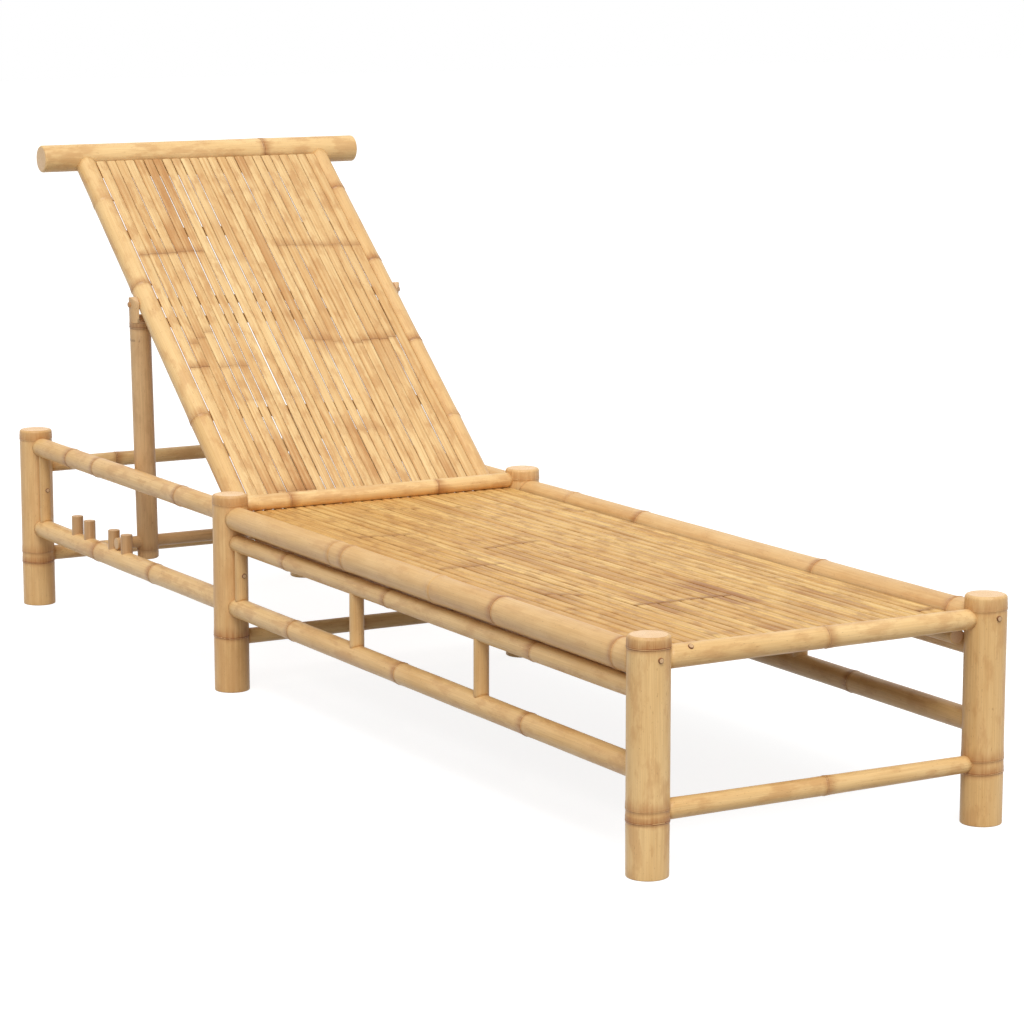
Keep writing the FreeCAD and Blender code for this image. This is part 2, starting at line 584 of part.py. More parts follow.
def prop():
    """Two splayed legs joined by the bar in the slots and by the rod that turns in the backrest rails."""
    pivot = BACK.multVec(Vector(0, size("prop_along"), -size("prop_below")))
    bar_y = mid_y + size("slot_one")
    bar_z = size("slot_rail_z") + size("slot_rail_dia") / 2 + size("bar_clear") + size("bar_dia") / 2
    leg_r = size("leg_dia") / 2
    face_x = size("back_x") + size("back_rail_dia") / 2 + size("tongue_gap")
    tip_x = size("leg_top_x") + leg_r + size("rod_proud")
    bar_at = Vector(-size("bar_half"), bar_y, bar_z)
    bar = pole("prop_bar_pole", "2 * sizes.bar_half", "sizes.bar_dia", "sizes.bar_dia", bar_at, ALONG_X)
    keep(bar, "prop_bar")
    bar_hole = rod("bar_hole", "sizes.bar_dia + 2 * sizes.pin_gap", "2 * sizes.bar_half", bar_at, ALONG_X)
    tip_hole = rod("tip_hole", "sizes.rod_tip_dia + 2 * sizes.pin_gap", "2 * sizes.post_x",
                   Vector(-post_x, pivot.y, pivot.z), ALONG_X)
    thick_half = "(sizes.back_x + sizes.back_rail_dia / 2 + sizes.tongue_gap)"
    thick = rod("prop_rod_middle", "sizes.rod_dia", f"2 * {thick_half}", Vector(-face_x, pivot.y, pivot.z), ALONG_X)
    thin = rod("prop_rod_tips", "sizes.rod_tip_dia", "2 * (sizes.leg_top_x + sizes.leg_dia / 2 + sizes.rod_proud)",
               Vector(-tip_x, pivot.y, pivot.z), ALONG_X)
    keep(fuse("prop_rod_fused", [thick, thin]), "prop_rod")
    shoulder_z = pivot.z - size("shoulder_down")
    for side, sign in SIDES:
        label = f"prop_leg_{side}"
        top = Vector(sign * size("leg_top_x"), pivot.y, pivot.z)
        low = Vector(sign * size("leg_low_x"), bar_y, bar_z)
        along = (top - low).normalize()
        length = (top - low).Length + size("leg_below") + size("tongue_half")
        blank = pole(label + "_pole", f"{length:.4f}", "sizes.leg_dia", "sizes.leg_dia",
                     low - along * size("leg_below"), Rotation(Vector(0, 0, 1), along))
        above = doc.addObject("Part::Box", label + "_above")
        bind(above, Length="2 * sizes.leg_dia", Width="2 * sizes.leg_dia", Height="2 * sizes.leg_dia")
        above.Placement = Placement(Vector(top.x - 2 * leg_r, top.y - 2 * leg_r, shoulder_z), Rotation())
        spaces = [above]
        for i in range(3):
            fold = Rotation(Vector(1, 0, 0), size("fold_relief") * i / 2)
            rail_turn = fold * BACK.Rotation
            foot = pivot + rail_turn.multVec(Vector(0, -3 * size("leg_dia"), size("prop_below")))
            foot.x = sign * size("back_x")
            spaces.append(rod(f"{label}_space_{i}", "sizes.back_rail_dia + 2 * sizes.shoulder_relief",
                              "6 * sizes.leg_dia", foot, rail_turn * ALONG_Y))
        lower = cut(label + "_lower", blank, spaces)
        tongue_box = doc.addObject("Part::Box", label + "_tongue_box")
        bind(tongue_box, Length="sizes.leg_dia", Width="2 * sizes.tongue_half", Height="2 * sizes.shoulder_down")
        inner = face_x if sign > 0 else -face_x - size("leg_dia")
        tongue_box.Placement = Placement(Vector(inner, pivot.y - size("tongue_half"),
                                                pivot.z - 2 * size("shoulder_down")), Rotation())
        round_start = Vector(inner, pivot.y, pivot.z)
        round_top = rod(label + "_tongue_top", "2 * sizes.tongue_half", "sizes.leg_dia", round_start, ALONG_X)
        blank_tongue = fuse(label + "_tongue_blank", [tongue_box, round_top])
        tongue = doc.addObject("Part::Common", label + "_tongue")
        tongue.Base = blank
        tongue.Tool = blank_tongue
        joined = fuse(label + "_joined", [lower, tongue])
        keep(cut(label + "_bored", joined, [bar_hole, tip_hole]), label)


side_blanks = list(side_rails())
cross_blanks = list(cross_rails())
foot_post_pins()
cross_rail_pin()
struts()
guard_poles()
pegs()
seat()
backrest()
prop()

for (station, side), holes in post_holes.items():
    y, dia = POSTS[station]
    sign = dict(SIDES)[side]
    label = f"post_{station}_{side}"
    blank = pole(label + "_pole", "sizes.post_tall", f"sizes.{dia}", f"sizes.{dia}", Vector(sign * post_x, y, 0),
                 high_edge="sizes.post_edge")
    keep(cut(label + "_bored", blank, holes), label)
for label, blank in side_blanks + cross_blanks:
    keep(cut(label + "_bored", blank, rail_holes[label]) if rail_holes[label] else blank, label)

doc.recompute()

for thing in doc.Objects:
    if "Invalid" in thing.State or "Error" in thing.State:
        raise RuntimeError(f"{thing.Name} failed: {thing.State}")
for thing in parts:
    if thing.Shape.isNull() or not thing.Shape.isValid() or thing.Shape.Volume <= 0:
        raise RuntimeError(f"{thing.Label} has no valid shape")

os.makedirs("parts", exist_ok=True)
for thing in parts:
    thing.Shape.exportStep(f"parts/{thing.Label}.step")
print(len(parts), "pieces,", sum(len(thing.Shape.Solids) for thing in parts), "solids")
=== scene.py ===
import math

import bpy
import numpy as np
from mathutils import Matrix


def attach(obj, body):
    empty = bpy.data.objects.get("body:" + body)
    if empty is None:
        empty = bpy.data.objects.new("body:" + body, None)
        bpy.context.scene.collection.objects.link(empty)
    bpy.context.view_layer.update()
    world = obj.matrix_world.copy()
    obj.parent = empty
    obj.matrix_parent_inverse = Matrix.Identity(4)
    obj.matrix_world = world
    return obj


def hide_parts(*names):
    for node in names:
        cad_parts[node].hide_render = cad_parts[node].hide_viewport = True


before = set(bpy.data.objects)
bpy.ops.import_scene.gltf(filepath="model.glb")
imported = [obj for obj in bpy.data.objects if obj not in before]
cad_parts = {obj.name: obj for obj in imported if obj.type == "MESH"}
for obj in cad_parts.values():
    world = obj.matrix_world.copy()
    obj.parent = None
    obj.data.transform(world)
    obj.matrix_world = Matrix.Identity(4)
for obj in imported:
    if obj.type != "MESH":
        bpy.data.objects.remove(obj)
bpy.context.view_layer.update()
print("scene: frame loaded")

# camera: solved from the posts of the photographed lounger, its focal length in pixels of the photo
view = {"spot": (-2.3686, -4.3444, 1.1296), "yaw": 29.771, "down": 9.734, "focal": 3387.5, "pixels": 1024,
        "sensor": 36.0, "far": 60}
cameraData = bpy.data.cameras.new("camera")
cameraData.sensor_width = view["sensor"]
cameraData.lens = view["focal"] / view["pixels"] * view["sensor"]
cameraData.clip_end = view["far"]
camera = bpy.data.objects.new("camera", cameraData)
camera.location = view["spot"]
camera.rotation_euler = (math.radians(90 - view["down"]), 0, math.radians(-view["yaw"]))
bpy.context.collection.objects.link(camera)
bpy.context.scene.camera = camera
print("scene: camera set")

# stations of the lounger in metres, as the solids have them: x across, y towards the head, z up.
# hold is the radius that a rail's end is hollowed to, about 1 mm inside the face of its post
place = {
    "footY": -0.97575, "midY": 0.20525, "headY": 0.97725, "postX": 0.2527,
    "hold": {"footY": 0.0262, "midY": 0.0252, "headY": 0.0262},
    "hingeY": 0.25925, "hingeZ": 0.2698, "tilt": math.radians(40.06), "backX": 0.2116, "backLong": 0.7664,
    "rodY": 0.596813, "rodZ": 0.545813, "barY": 0.62325, "barZ": 0.15855,
}
bothSides = (("left", -1), ("right", 1))
# first random seed of each kind of piece
seeds = {"sideRail": 31, "crossRail": 51, "upright": 61, "peg": 71, "ledger": 81, "seatBatten": 91,
         "backRail": 101, "headbar": 105, "backBatten": 111, "propLeg": 121, "tongue": 131, "propBar": 141,
         "dowel": 151, "seatRow": 401, "seatMarks": 402, "seatSlat": 500, "backRow": 601, "backMarks": 602,
         "backSlat": 700}


def backPoint(x, along, rise):
    # a point given along the backrest and out of its face, in the lounger's own axes
    c, s = math.cos(place["tilt"]), math.sin(place["tilt"])
    return (x, place["hingeY"] + along * c - rise * s, place["hingeZ"] + along * s + rise * c)


def rgb(red, green, blue):
    # a screen colour of 0 to 255 as the linear colour that the shaders take, by the standard screen curve
    c = np.array([red, green, blue]) / 255
    c = np.where(c <= 0.04045, c / 12.92, ((c + 0.055) / 1.055) ** 2.4)
    return (*[float(v) for v in c], 1.0)


# shader helpers: each adds one node to a tree and joins what it is given
def join(tree, socket, value):
    if isinstance(value, bpy.types.NodeSocket):
        tree.links.new(value, socket)
    elif value is not None:
        socket.default_value = value


def sums(tree, kind, a, b=None, c=None, clamp=False):
    node = tree.nodes.new("ShaderNodeMath")
    node.operation = kind
    node.use_clamp = clamp
    for socket, value in zip(node.inputs, (a, b, c)):
        join(tree, socket, value)
    return node.outputs[0]


def stretch(tree, vector, by):
    node = tree.nodes.new("ShaderNodeVectorMath")
    node.operation = "MULTIPLY"
    join(tree, node.inputs[0], vector)
    join(tree, node.inputs[1], by)
    return node.outputs[0]


def noise(tree, vector, by, detail, rough):
    # by is how often the pattern repeats per metre along each axis
    node = tree.nodes.new("ShaderNodeTexNoise")
    join(tree, node.inputs["Vector"], stretch(tree, vector, by))
    node.inputs["Scale"].default_value = 1.0
    node.inputs["Detail"].default_value = detail
    node.inputs["Roughness"].default_value = rough
    return node.outputs["Fac"]


def ramp(tree, value, low, high, toLow=0.0, toHigh=1.0):
    node = tree.nodes.new("ShaderNodeMapRange")
    node.interpolation_type = "SMOOTHSTEP"
    join(tree, node.inputs["Value"], value)
    for label, number in (("From Min", low), ("From Max", high), ("To Min", toLow), ("To Max", toHigh)):
        join(tree, node.inputs[label], number)
    return node.outputs["Result"]


def blendColor(tree, share, a, b):
    node = tree.nodes.new("ShaderNodeMix")
    node.data_type = "RGBA"
    join(tree, node.inputs[0], share)
    join(tree, node.inputs[6], a)
    join(tree, node.inputs[7], b)
    return node.outputs[2]


def addBump(tree, shader, height, strength, distance):
    node = tree.nodes.new("ShaderNodeBump")
    node.inputs["Strength"].default_value = strength
    node.inputs["Distance"].default_value = distance
    tree.links.new(height, node.inputs["Height"])
    tree.links.new(node.outputs["Normal"], shader.inputs["Normal"])


def newMaterial(name):
    # an empty material with its tree and its shader
    material = bpy.data.materials.new(name)
    material.use_nodes = True
    return material, material.node_tree, material.node_tree.nodes["Principled BSDF"]


# bamboo skin: fine fibres and broad streaks along the culm, brown patches, a blush where the piece asks for
# it, a brown line and stain at each node, and the cut-face colour where cutFace is 1: a paler end grain, and
# on the seat's splits a dark brown of painted shade
def makeBambooSkin():
    tree = bpy.data.node_groups.new("bambooSkin", "ShaderNodeTree")
    sockets = {
        ("INPUT", "Vector"): ("Spot",), ("INPUT", "Color"): ("Pale", "Deep", "Ring", "Stain", "FleshAndShade"),
        ("INPUT", "Float"): ("Past", "Ahead", "Scar", "Tone", "Cut", "Blush", "Patch", "Streak", "Band",
                             "Smooth"),
        ("OUTPUT", "Color"): ("Color",), ("OUTPUT", "Float"): ("Roughness", "Height")}
    for (way, kind), labels in sockets.items():
        for label in labels:
            tree.interface.new_socket(label, in_out=way, socket_type="NodeSocket" + kind)
    given, result = tree.nodes.new("NodeGroupInput").outputs, tree.nodes.new("NodeGroupOutput").inputs
    spot, past, ahead, scar = given["Spot"], given["Past"], given["Ahead"], given["Scar"]
    fibre = noise(tree, spot, (1500, 1500, 14), 2, 0.6)
    streak = noise(tree, spot, (260, 260, 2.6), 3, 0.55)
    cloud = noise(tree, spot, (34, 34, 9), 3, 0.6)
    patches = noise(tree, spot, (56, 56, 20), 4, 0.62)
    speck = noise(tree, spot, (700, 700, 190), 1, 0.5)
    # broad colour: streaks, clouds and the internode's own tone
    share = sums(tree, "MULTIPLY", ramp(tree, streak, 0.3, 0.72), given["Streak"])
    share = sums(tree, "ADD", share, sums(tree, "MULTIPLY", ramp(tree, cloud, 0.35, 0.75), 0.35))
    share = sums(tree, "MULTIPLY_ADD", given["Tone"], 0.45, share, clamp=True)
    color = blendColor(tree, share, given["Pale"], given["Deep"])
    # fibres darken and lighten by a few percent
    color = blendColor(tree, ramp(tree, fibre, 0.35, 0.65, 0.16, 0.0), color, given["Ring"])
    # brown patches, and over them the blush: mottled by the patches and nearly even where Smooth is 1,
    # drawn out in streaks where it is 0
    brown = sums(tree, "MULTIPLY", ramp(tree, patches, 0.46, 0.64), given["Patch"])
    rest = sums(tree, "SUBTRACT", 1.0, given["Smooth"])
    mottle = sums(tree, "MULTIPLY_ADD", patches, given["Smooth"], sums(tree, "MULTIPLY", streak, rest))
    least = sums(tree, "MULTIPLY", given["Smooth"], 0.65)
    blush = sums(tree, "MULTIPLY", ramp(tree, mottle, 0.36, 0.60, least, 1.0), given["Blush"])
    brown = sums(tree, "MAXIMUM", brown, blush, clamp=True)
    color = blendColor(tree, brown, color, given["Stain"])
    # small dark specks
    dots = sums(tree, "MULTIPLY", ramp(tree, speck, 0.70, 0.76), 0.35)
    color = blendColor(tree, dots, color, given["Ring"])
    # node: a broad stain that fades out past it, a shorter one before it, and the thin scar line. a stain's
    # reach in metres is a share of the clouds and a least value
    fades = []
    for gap, more, few in ((past, 0.030, 0.004), (ahead, 0.014, 0.002)):
        reach = sums(tree, "MULTIPLY_ADD", cloud, more, few)
        fades.append(ramp(tree, sums(tree, "DIVIDE", gap, reach), 1.0, 0.0))
    after, before = fades
    uneven = ramp(tree, streak, 0.25, 0.65, 0.55, 1.0)
    stain = sums(tree, "MULTIPLY_ADD", before, 0.7, sums(tree, "MULTIPLY", after, 0.95), clamp=True)
    stain = sums(tree, "MULTIPLY", sums(tree, "MULTIPLY", stain, uneven), scar)
    band = blendColor(tree, 0.3, given["Stain"], given["Ring"])
    color = blendColor(tree, sums(tree, "MULTIPLY", stain, given["Band"]), color, band)
    line = ramp(tree, sums(tree, "MINIMUM", past, ahead), 0.0022, 0.0005, 0.0, 0.95)
    line = sums(tree, "MULTIPLY", sums(tree, "MULTIPLY", line, scar), scar)
    line = sums(tree, "MULTIPLY", line, ramp(tree, cloud, 0.25, 0.6, 0.55, 1.0))
    color = blendColor(tree, line, color, given["Ring"])
    # cut faces: pores in the flesh colour, which on the seat's splits is a dark painted shade
    pore = ramp(tree, noise(tree, spot, (2300, 2300, 60), 1, 0.5), 0.52, 0.66, 0.0, 0.45)
    fleshandshade = blendColor(tree, pore, given["FleshAndShade"], given["Ring"])
    fleshandshade = blendColor(tree, ramp(tree, cloud, 0.3, 0.7, 0.0, 0.35), fleshandshade, given["Deep"])
    color = blendColor(tree, given["Cut"], color, fleshandshade)
    rough = sums(tree, "MULTIPLY_ADD", cloud, 0.22, 0.34)
    rough = sums(tree, "MULTIPLY_ADD", given["Cut"], 0.28, rough, clamp=True)
    height = sums(tree, "MULTIPLY_ADD", fibre, 0.45, sums(tree, "MULTIPLY", speck, 0.25))
    height = sums(tree, "MULTIPLY_ADD", pore, given["Cut"], height)
    join(tree, result["Color"], color)
    join(tree, result["Roughness"], rough)
    join(tree, result["Height"], height)
    return tree


bambooSkin = makeBambooSkin()


def bambooMaterial(name, look):
    # a bamboo finish: the skin group over the piece's own attributes, on a slightly glossy shader
    material, tree, shader = newMaterial(name)
    skin = tree.nodes.new("ShaderNodeGroup")
    skin.node_tree = bambooSkin
    for attribute, label in (("spot", "Spot"), ("past", "Past"), ("ahead", "Ahead"), ("scar", "Scar"),
                             ("tone", "Tone"), ("cutFace", "Cut"), ("blush", "Blush")):
        node = tree.nodes.new("ShaderNodeAttribute")
        node.attribute_name = attribute
        tree.links.new(node.outputs["Vector" if attribute == "spot" else "Fac"], skin.inputs[label])
    for label in ("Pale", "Deep", "Ring", "Stain", "FleshAndShade"):
        skin.inputs[label].default_value = rgb(*look[label.lower()])
    for label in ("Patch", "Streak", "Band", "Smooth"):
        skin.inputs[label].default_value = look[label.lower()]
    tree.links.new(skin.outputs["Color"], shader.inputs["Base Color"])
    tree.links.new(skin.outputs["Roughness"], shader.inputs["Roughness"])
    addBump(tree, shader, skin.outputs["Height"], look["bump"], 0.0004)
    shader.inputs["Specular IOR Level"].default_value = look["gloss"]
    shader.inputs["Coat Weight"].default_value = look["coat"]
    shader.inputs["Coat Roughness"].default_value = 0.28
    return material


# finishes: round culms, the browner culms of pegs and prop, the splits of seat and backrest, and dowels
culmGold = bambooMaterial("culmGold", {
    "pale": (250, 213, 152), "deep": (226, 181, 116), "ring": (134, 76, 34), "stain": (186, 124, 66),
    "fleshandshade": (252, 218, 178), "patch": 0.36, "streak": 0.3, "band": 0.95, "smooth": 0.85, "bump": 0.22,
    "coat": 0.05, "gloss": 0.4})
culmBrown = bambooMaterial("culmBrown", {
    "pale": (230, 190, 138), "deep": (208, 167, 116), "ring": (120, 78, 46), "stain": (160, 110, 68),
    "fleshandshade": (236, 200, 158), "patch": 0.24, "streak": 0.4, "band": 0.9, "smooth": 0.7, "bump": 0.3,
    "coat": 0.03, "gloss": 0.4})
# the seat's cut-face colour is a dark brown: painted shade in the gaps between the splits, at their ends and
# on the battens' flat tops that show through the gaps
splitSeat = bambooMaterial("splitSeat", {
    "pale": (252, 213, 138), "deep": (216, 165, 94), "ring": (116, 72, 34), "stain": (166, 112, 58),
    "fleshandshade": (132, 88, 44), "patch": 0.5, "streak": 0.85, "band": 0.9, "smooth": 0.5, "bump": 0.3,
    "coat": 0.0, "gloss": 0.2})
splitBack = bambooMaterial("splitBack", {
    "pale": (249, 216, 157), "deep": (220, 173, 112), "ring": (134, 84, 44), "stain": (188, 132, 76),
    "fleshandshade": (228, 184, 122), "patch": 0.5, "streak": 0.6, "band": 0.85, "smooth": 0.6, "bump": 0.25,
    "coat": 0.03, "gloss": 0.35})
dowelEnd = bambooMaterial("dowelEnd", {
    "pale": (150, 102, 62), "deep": (128, 84, 50), "ring": (96, 60, 34), "stain": (110, 70, 40),
    "fleshandshade": (240, 200, 152), "patch": 0.2, "streak": 0.4, "band": 0.0, "smooth": 0.5, "bump": 0.2,
    "coat": 0.0, "gloss": 0.4})


def makePinWood():
    # turned hardwood: rings of grain stretched along y, on the solid's own coordinates
    material, tree, shader = newMaterial("pinWood")
    spot = tree.nodes.new("ShaderNodeTexCoord").outputs["Object"]
    grain = noise(tree, spot, (320, 60, 320), 3, 0.6)
    fine = noise(tree, spot, (1400, 500, 1400), 2, 0.5)
    color = blendColor(tree, ramp(tree, grain, 0.3, 0.7), rgb(206, 158, 104), rgb(170, 120, 74))
    color = blendColor(tree, ramp(tree, fine, 0.6, 0.75, 0.0, 0.4), color, rgb(128, 84, 48))
    tree.links.new(color, shader.inputs["Base Color"])
    tree.links.new(ramp(tree, grain, 0.2, 0.8, 0.5, 0.68), shader.inputs["Roughness"])
    addBump(tree, shader, fine, 0.2, 0.0003)
    return material


pinWood = makePinWood()
print("scene: finishes made")


# least step between rows of points, and the most that a distance to a node says, in metres
leastStep, farGap = 0.0003, 0.06


def poleFrame(start, end, across):
    # the pole's axis and two directions square to it, the first as near as may be to across
    start, end = np.array(start, float), np.array(end, float)
    length = float(np.linalg.norm(end - start))
    axis = (end - start) / length
    first = np.array(across, float)
    first -= axis * first.dot(axis)
    first /= np.linalg.norm(first)
    return start, axis, first, np.cross(axis, first), length


def rowPlaces(places, nodes, near, low, high):
    # the places along a pole with short steps on both sides of each node, in order, clear of both ends
    for node in nodes:
        places += [node + near, node - near, np.array([node])]
    rows = np.unique(np.round(np.concatenate(places), 5))
    rows = rows[(rows > low + leastStep) & (rows < high - leastStep)]
    return rows[np.concatenate([[True], np.diff(rows) > leastStep])]


def nodeGaps(s, nodes):
    # signed distance to the nearest node, distance past the last one and ahead to the next, both at most
    # farGap, and the numbers of the nearest node and of the internode
    if not len(nodes):
        far = np.full_like(s, farGap)
        return far, far, far, np.zeros(s.shape, int), np.zeros(s.shape, int)
    every = s[..., None] - np.array(sorted(nodes))
    nearest = np.abs(every).argmin(-1)
    gap = np.take_along_axis(every, nearest[..., None], -1)[..., 0]
    past = np.where(every >= 0, every, 1.0).min(-1)
    ahead = np.where(every < 0, -every, 1.0).min(-1)
    return gap, np.minimum(past, farGap), np.minimum(ahead, farGap), nearest, (every > 0).sum(-1)


def nodeBump(gap, size):
    # ridge = a thin bell on the node, groove = a thinner bell before it, swell = wide bells round both
    return size * (np.exp(-(gap / 0.0015) ** 2) - 0.6 * np.exp(-((gap + 0.0038) / 0.0012) ** 2)
                   + 0.7 * np.exp(-((gap - 0.0045) / 0.0032) ** 2) + 0.5 * np.exp(-(gap / 0.015) ** 2))


def nodeValues(given, seed, low, high, count):
    # the values that a piece gives for its nodes or internodes, or else random ones
    return np.random.default_rng(seed).uniform(low, high, count) if given is None else np.array([*given, 0.0])


def patternSpot(across, over, along, seed):
    # where the patterns are read, moved by the seed so that no two pieces look alike
    return np.stack([across + seed * 0.37, over, along + seed * 1.9], -1)


def culmGrid(spec):
    # rings of points along a pole: radius = straight taper * (1 + slow waves) + bumps at the nodes.
    # a cut end has a quarter-round rim and a flat face; a round end is hollowed to a neighbour of radius R:
    # a point lies off = r*cos(t) from the neighbour's middle, so it starts sqrt(R*R - off*off) from its axis
    start, axis, first, second, length = poleFrame(spec["start"], spec["end"], spec["across"])
    sides, seed, clear = spec["sides"], spec["seed"], 0.002
    nodes = [n for n in spec.get("nodes", ()) if clear < n < length - clear]
    low, high = spec.get("low", ("cut", 0.0015)), spec.get("high", ("cut", 0.0015))
    lowRim, highRim = (end[1] if end[0] == "cut" else 0.0 for end in (low, high))
    begin, stop = lowRim, length - highRim
    near = np.array([0.5, 1.2, 2.0, 2.8, 3.8, 5.0, 7.0, 10.0, 14.0, 20.0]) / 1000
    even = np.linspace(begin, stop, max(3, int((stop - begin) / spec.get("step", 0.012))))
    rows = np.concatenate([[begin], rowPlaces([even], nodes, near, begin, stop), [stop]])
    # each part of the pole: place along it, share of the radius, length off the radius, and 1 on a cut face
    bend, face = np.radians([78, 56, 34, 14]), np.array([0.2, 0.45, 0.7, 0.88, 0.98])
    four, five = np.ones(len(bend)), np.ones(len(face))
    parts = [(rows, np.ones(len(rows)), np.zeros(len(rows)), np.zeros(len(rows)))]
    if low[0] == "cut":
        parts.insert(0, (lowRim * (1 - np.sin(bend)), four, lowRim * (1 - np.cos(bend)), four * 0))
        parts.insert(0, (five * 0, face, five * lowRim, five))
    if high[0] == "cut":
        up = bend[::-1]
        parts.append((length - highRim * (1 - np.sin(up)), four, highRim * (1 - np.cos(up)), four * 0))
        parts.append((five * length, face[::-1], five * highRim, five))
    s, share, less, cut = (np.concatenate([p[i] for p in parts]) for i in range(4))
    turn = np.linspace(0, 2 * np.pi, sides, endpoint=False)
    s, turn = np.meshgrid(s, turn, indexing="ij")
    share, less, cut = share[:, None], less[:, None], np.repeat(cut[:, None], sides, 1)
    # nodes run a little askew round the pole
    phase = np.random.default_rng(seed).uniform(0, 6.28, 6)
    wavy = s + 0.0010 * np.sin(turn + phase[4]) + 0.0004 * np.sin(3 * turn + phase[5])
    gap, past, ahead, nearest, internode = nodeGaps(wavy, nodes)
    base = spec["radii"][0] + (spec["radii"][1] - spec["radii"][0]) * s / length
    wave = (0.008 * np.sin(2 * turn + phase[0] + 3.1 * s) + 0.005 * np.sin(3 * turn + phase[1] - 6.0 * s)
            + 0.006 * np.sin(s * 17 + phase[2]) + 0.003 * np.sin(s * 41 + turn + phase[3]))
    radius = base * (1 + wave * spec.get("wave", 1.0)) + nodeBump(gap, base * 0.036 * spec.get("ridge", 1.0))
    radius = (radius - less) * share
    # a round end shifts the points along the pole, and the shift fades out over its last 40 mm
    off, along = radius * np.cos(turn), s.copy()
    if low[0] == "round":
        hold, zone = np.sqrt(np.maximum(low[1] ** 2 - off ** 2, 1e-8)), low[1] + 0.04
        along = np.where(s < zone, hold + s * (zone - hold) / zone, along)
    if high[0] == "round":
        hold, zone = np.sqrt(np.maximum(high[1] ** 2 - off ** 2, 1e-8)), high[1] + 0.04
        back = length - s
        along = np.where(back < zone, length - (hold + back * (zone - hold) / zone), along)
    along = along + cut * spec.get("dome", 0.0) * (1 - share ** 2) * (s > length / 2)
    sway = np.random.default_rng(seed + 77).uniform(-1, 1, 2) * spec.get("sway", 0.0)
    bow = np.sin(np.pi * np.clip(s / length, 0, 1)) ** 2
    across, over = radius * np.cos(turn) + bow * sway[0], radius * np.sin(turn) + bow * sway[1]
    points = start + along[..., None] * axis + across[..., None] * first + over[..., None] * second
    tones = nodeValues(spec.get("tones"), seed + 5, 0, 1, len(nodes) + 1)
    scars = nodeValues(spec.get("scars"), seed + 9, 0.65, 1.0, len(nodes) + 1)
    spot = patternSpot(radius * np.cos(turn), radius * np.sin(turn), s, seed)
    return {"points": points, "spot": spot, "past": past, "ahead": ahead, "scar": scars[nearest],
            "cutFace": cut, "tone": tones[internode], "blush": np.full_like(s, spec.get("blush", 0.0)),
            "middle": [points[0].mean(0), points[-1].mean(0)]}


def slatSection(width, spec):
    # a split's outline, with u from -1 to 1 across it: the skin on top is the arc z = -crown*u^2 with rounded
    # corners, the sides lean in towards the culm's middle, and the underside is z = -thick*(1 - thin*u^4), so
    # that the edges are thinner
    count, thick = 9, spec["thick"]
    u = np.linspace(-1, 1, count)
    top = np.stack([width / 2 * u, -spec["crown"] * u ** 2 - 0.07 * thick * np.abs(u) ** 12], -1)[::-1]
    low = np.stack([(width / 2 - spec["lean"]) * u, -thick * (1 - spec["thin"] * u ** 4)], -1)
    side = np.array([[0.25], [0.75]])
    left = top[-1] * (1 - side) + low[0] * side
    right = low[-1] * (1 - side) + top[0] * side
    # the sides and underside are cut faces; on the seat's splits their dark colour is painted shade in the
    # gaps
    cutLine = np.concatenate([np.zeros(count), np.ones(2 + count + 2)])
    return np.concatenate([top, left, low, right]), cutLine


def splitGrid(spec):
    # a section carried along a straight line, with a small ridge at each node, a sideways bow
    # bow*sin(pi*s/length), and ends that shrink to 0.96 and 0.5 of the section on the end's plane
    up = np.cross(spec["up"], np.subtract(spec["end"], spec["start"]))
    start, axis, first, second, length = poleFrame(spec["start"], spec["end"], up)
    seed, clear = spec["seed"], 0.004
    marks = sorted(m for m in spec["marks"] if clear < m[0] < length - clear)
    nodes, strengths = [at for at, strength in marks], np.array([strength for at, strength in marks] + [0.0])
    section, cutLine = spec["section"], spec["cutLine"]
    near = np.array([0.8, 2.0, 3.5, 6.0, 11.0]) / 1000
    even = [np.array([0.0004, length - 0.0004]), np.linspace(0.0012, length - 0.0012, spec["rows"])]
    rows = np.concatenate([[0, 0], rowPlaces(even, nodes, near, 0, length), [length, length]])
    share = np.ones(len(rows))
    share[[0, -1]], share[[1, -2]] = 0.5, 0.96
    # both end rows are cut faces too; on the seat's splits they carry the painted shade at the rail and bar
    cut = np.zeros(len(rows))
    cut[[0, -1]] = 1
    s = np.repeat(rows[:, None], len(section), 1)
    phase = np.random.default_rng(seed).uniform(0, 6.28, 5)
    gap, past, ahead, nearest, internode = nodeGaps(s, nodes)
    middle = section.mean(0)
    wide = 1 + 0.02 * np.sin(s * 9 + phase[0]) + 0.012 * np.sin(s * 23 + phase[1])
    x = (middle[0] + (section[:, 0] - middle[0])[None] * share[:, None]) * wide
    z = middle[1] + (section[:, 1] - middle[1])[None] * share[:, None]
    lift = nodeBump(gap, 0.00050 * strengths[nearest]) * (1 - cutLine)[None]
    z = z + lift + spec.get("warp", 0.0) * np.sin(s * 5.3 + phase[2]) * 0.5
    x = x + spec.get("bow", 0.0) * np.sin(np.pi * s / length) + 0.0003 * np.sin(s * 14 + phase[3])
    if "shave" in spec:
        x = spec["shave"](x, s)
    points = start + s[..., None] * axis + x[..., None] * first + z[..., None] * second
    cutFace = np.maximum(cutLine[None], cut[:, None]) * np.ones_like(s)
    tones = np.random.default_rng(seed + 5).uniform(-0.22, 0.22, len(nodes) + 1)
    tones = np.clip(spec["tone"] + tones, 0, 1)
    blush = np.zeros_like(s)
    for low, high, strength in spec.get("blush", ()):
        # full strength between the two places, fading over 0.03 m outside them
        blush = np.maximum(blush, strength * np.clip(1.2 - np.maximum(low - s, s - high) / 0.03, 0, 1))
    return {"points": points, "spot": patternSpot(x, z, s, seed), "past": past, "ahead": ahead,
            "scar": strengths[nearest], "cutFace": cutFace, "tone": tones[internode], "blush": blush,
            "middle": [points[0].mean(0), points[-1].mean(0)]}


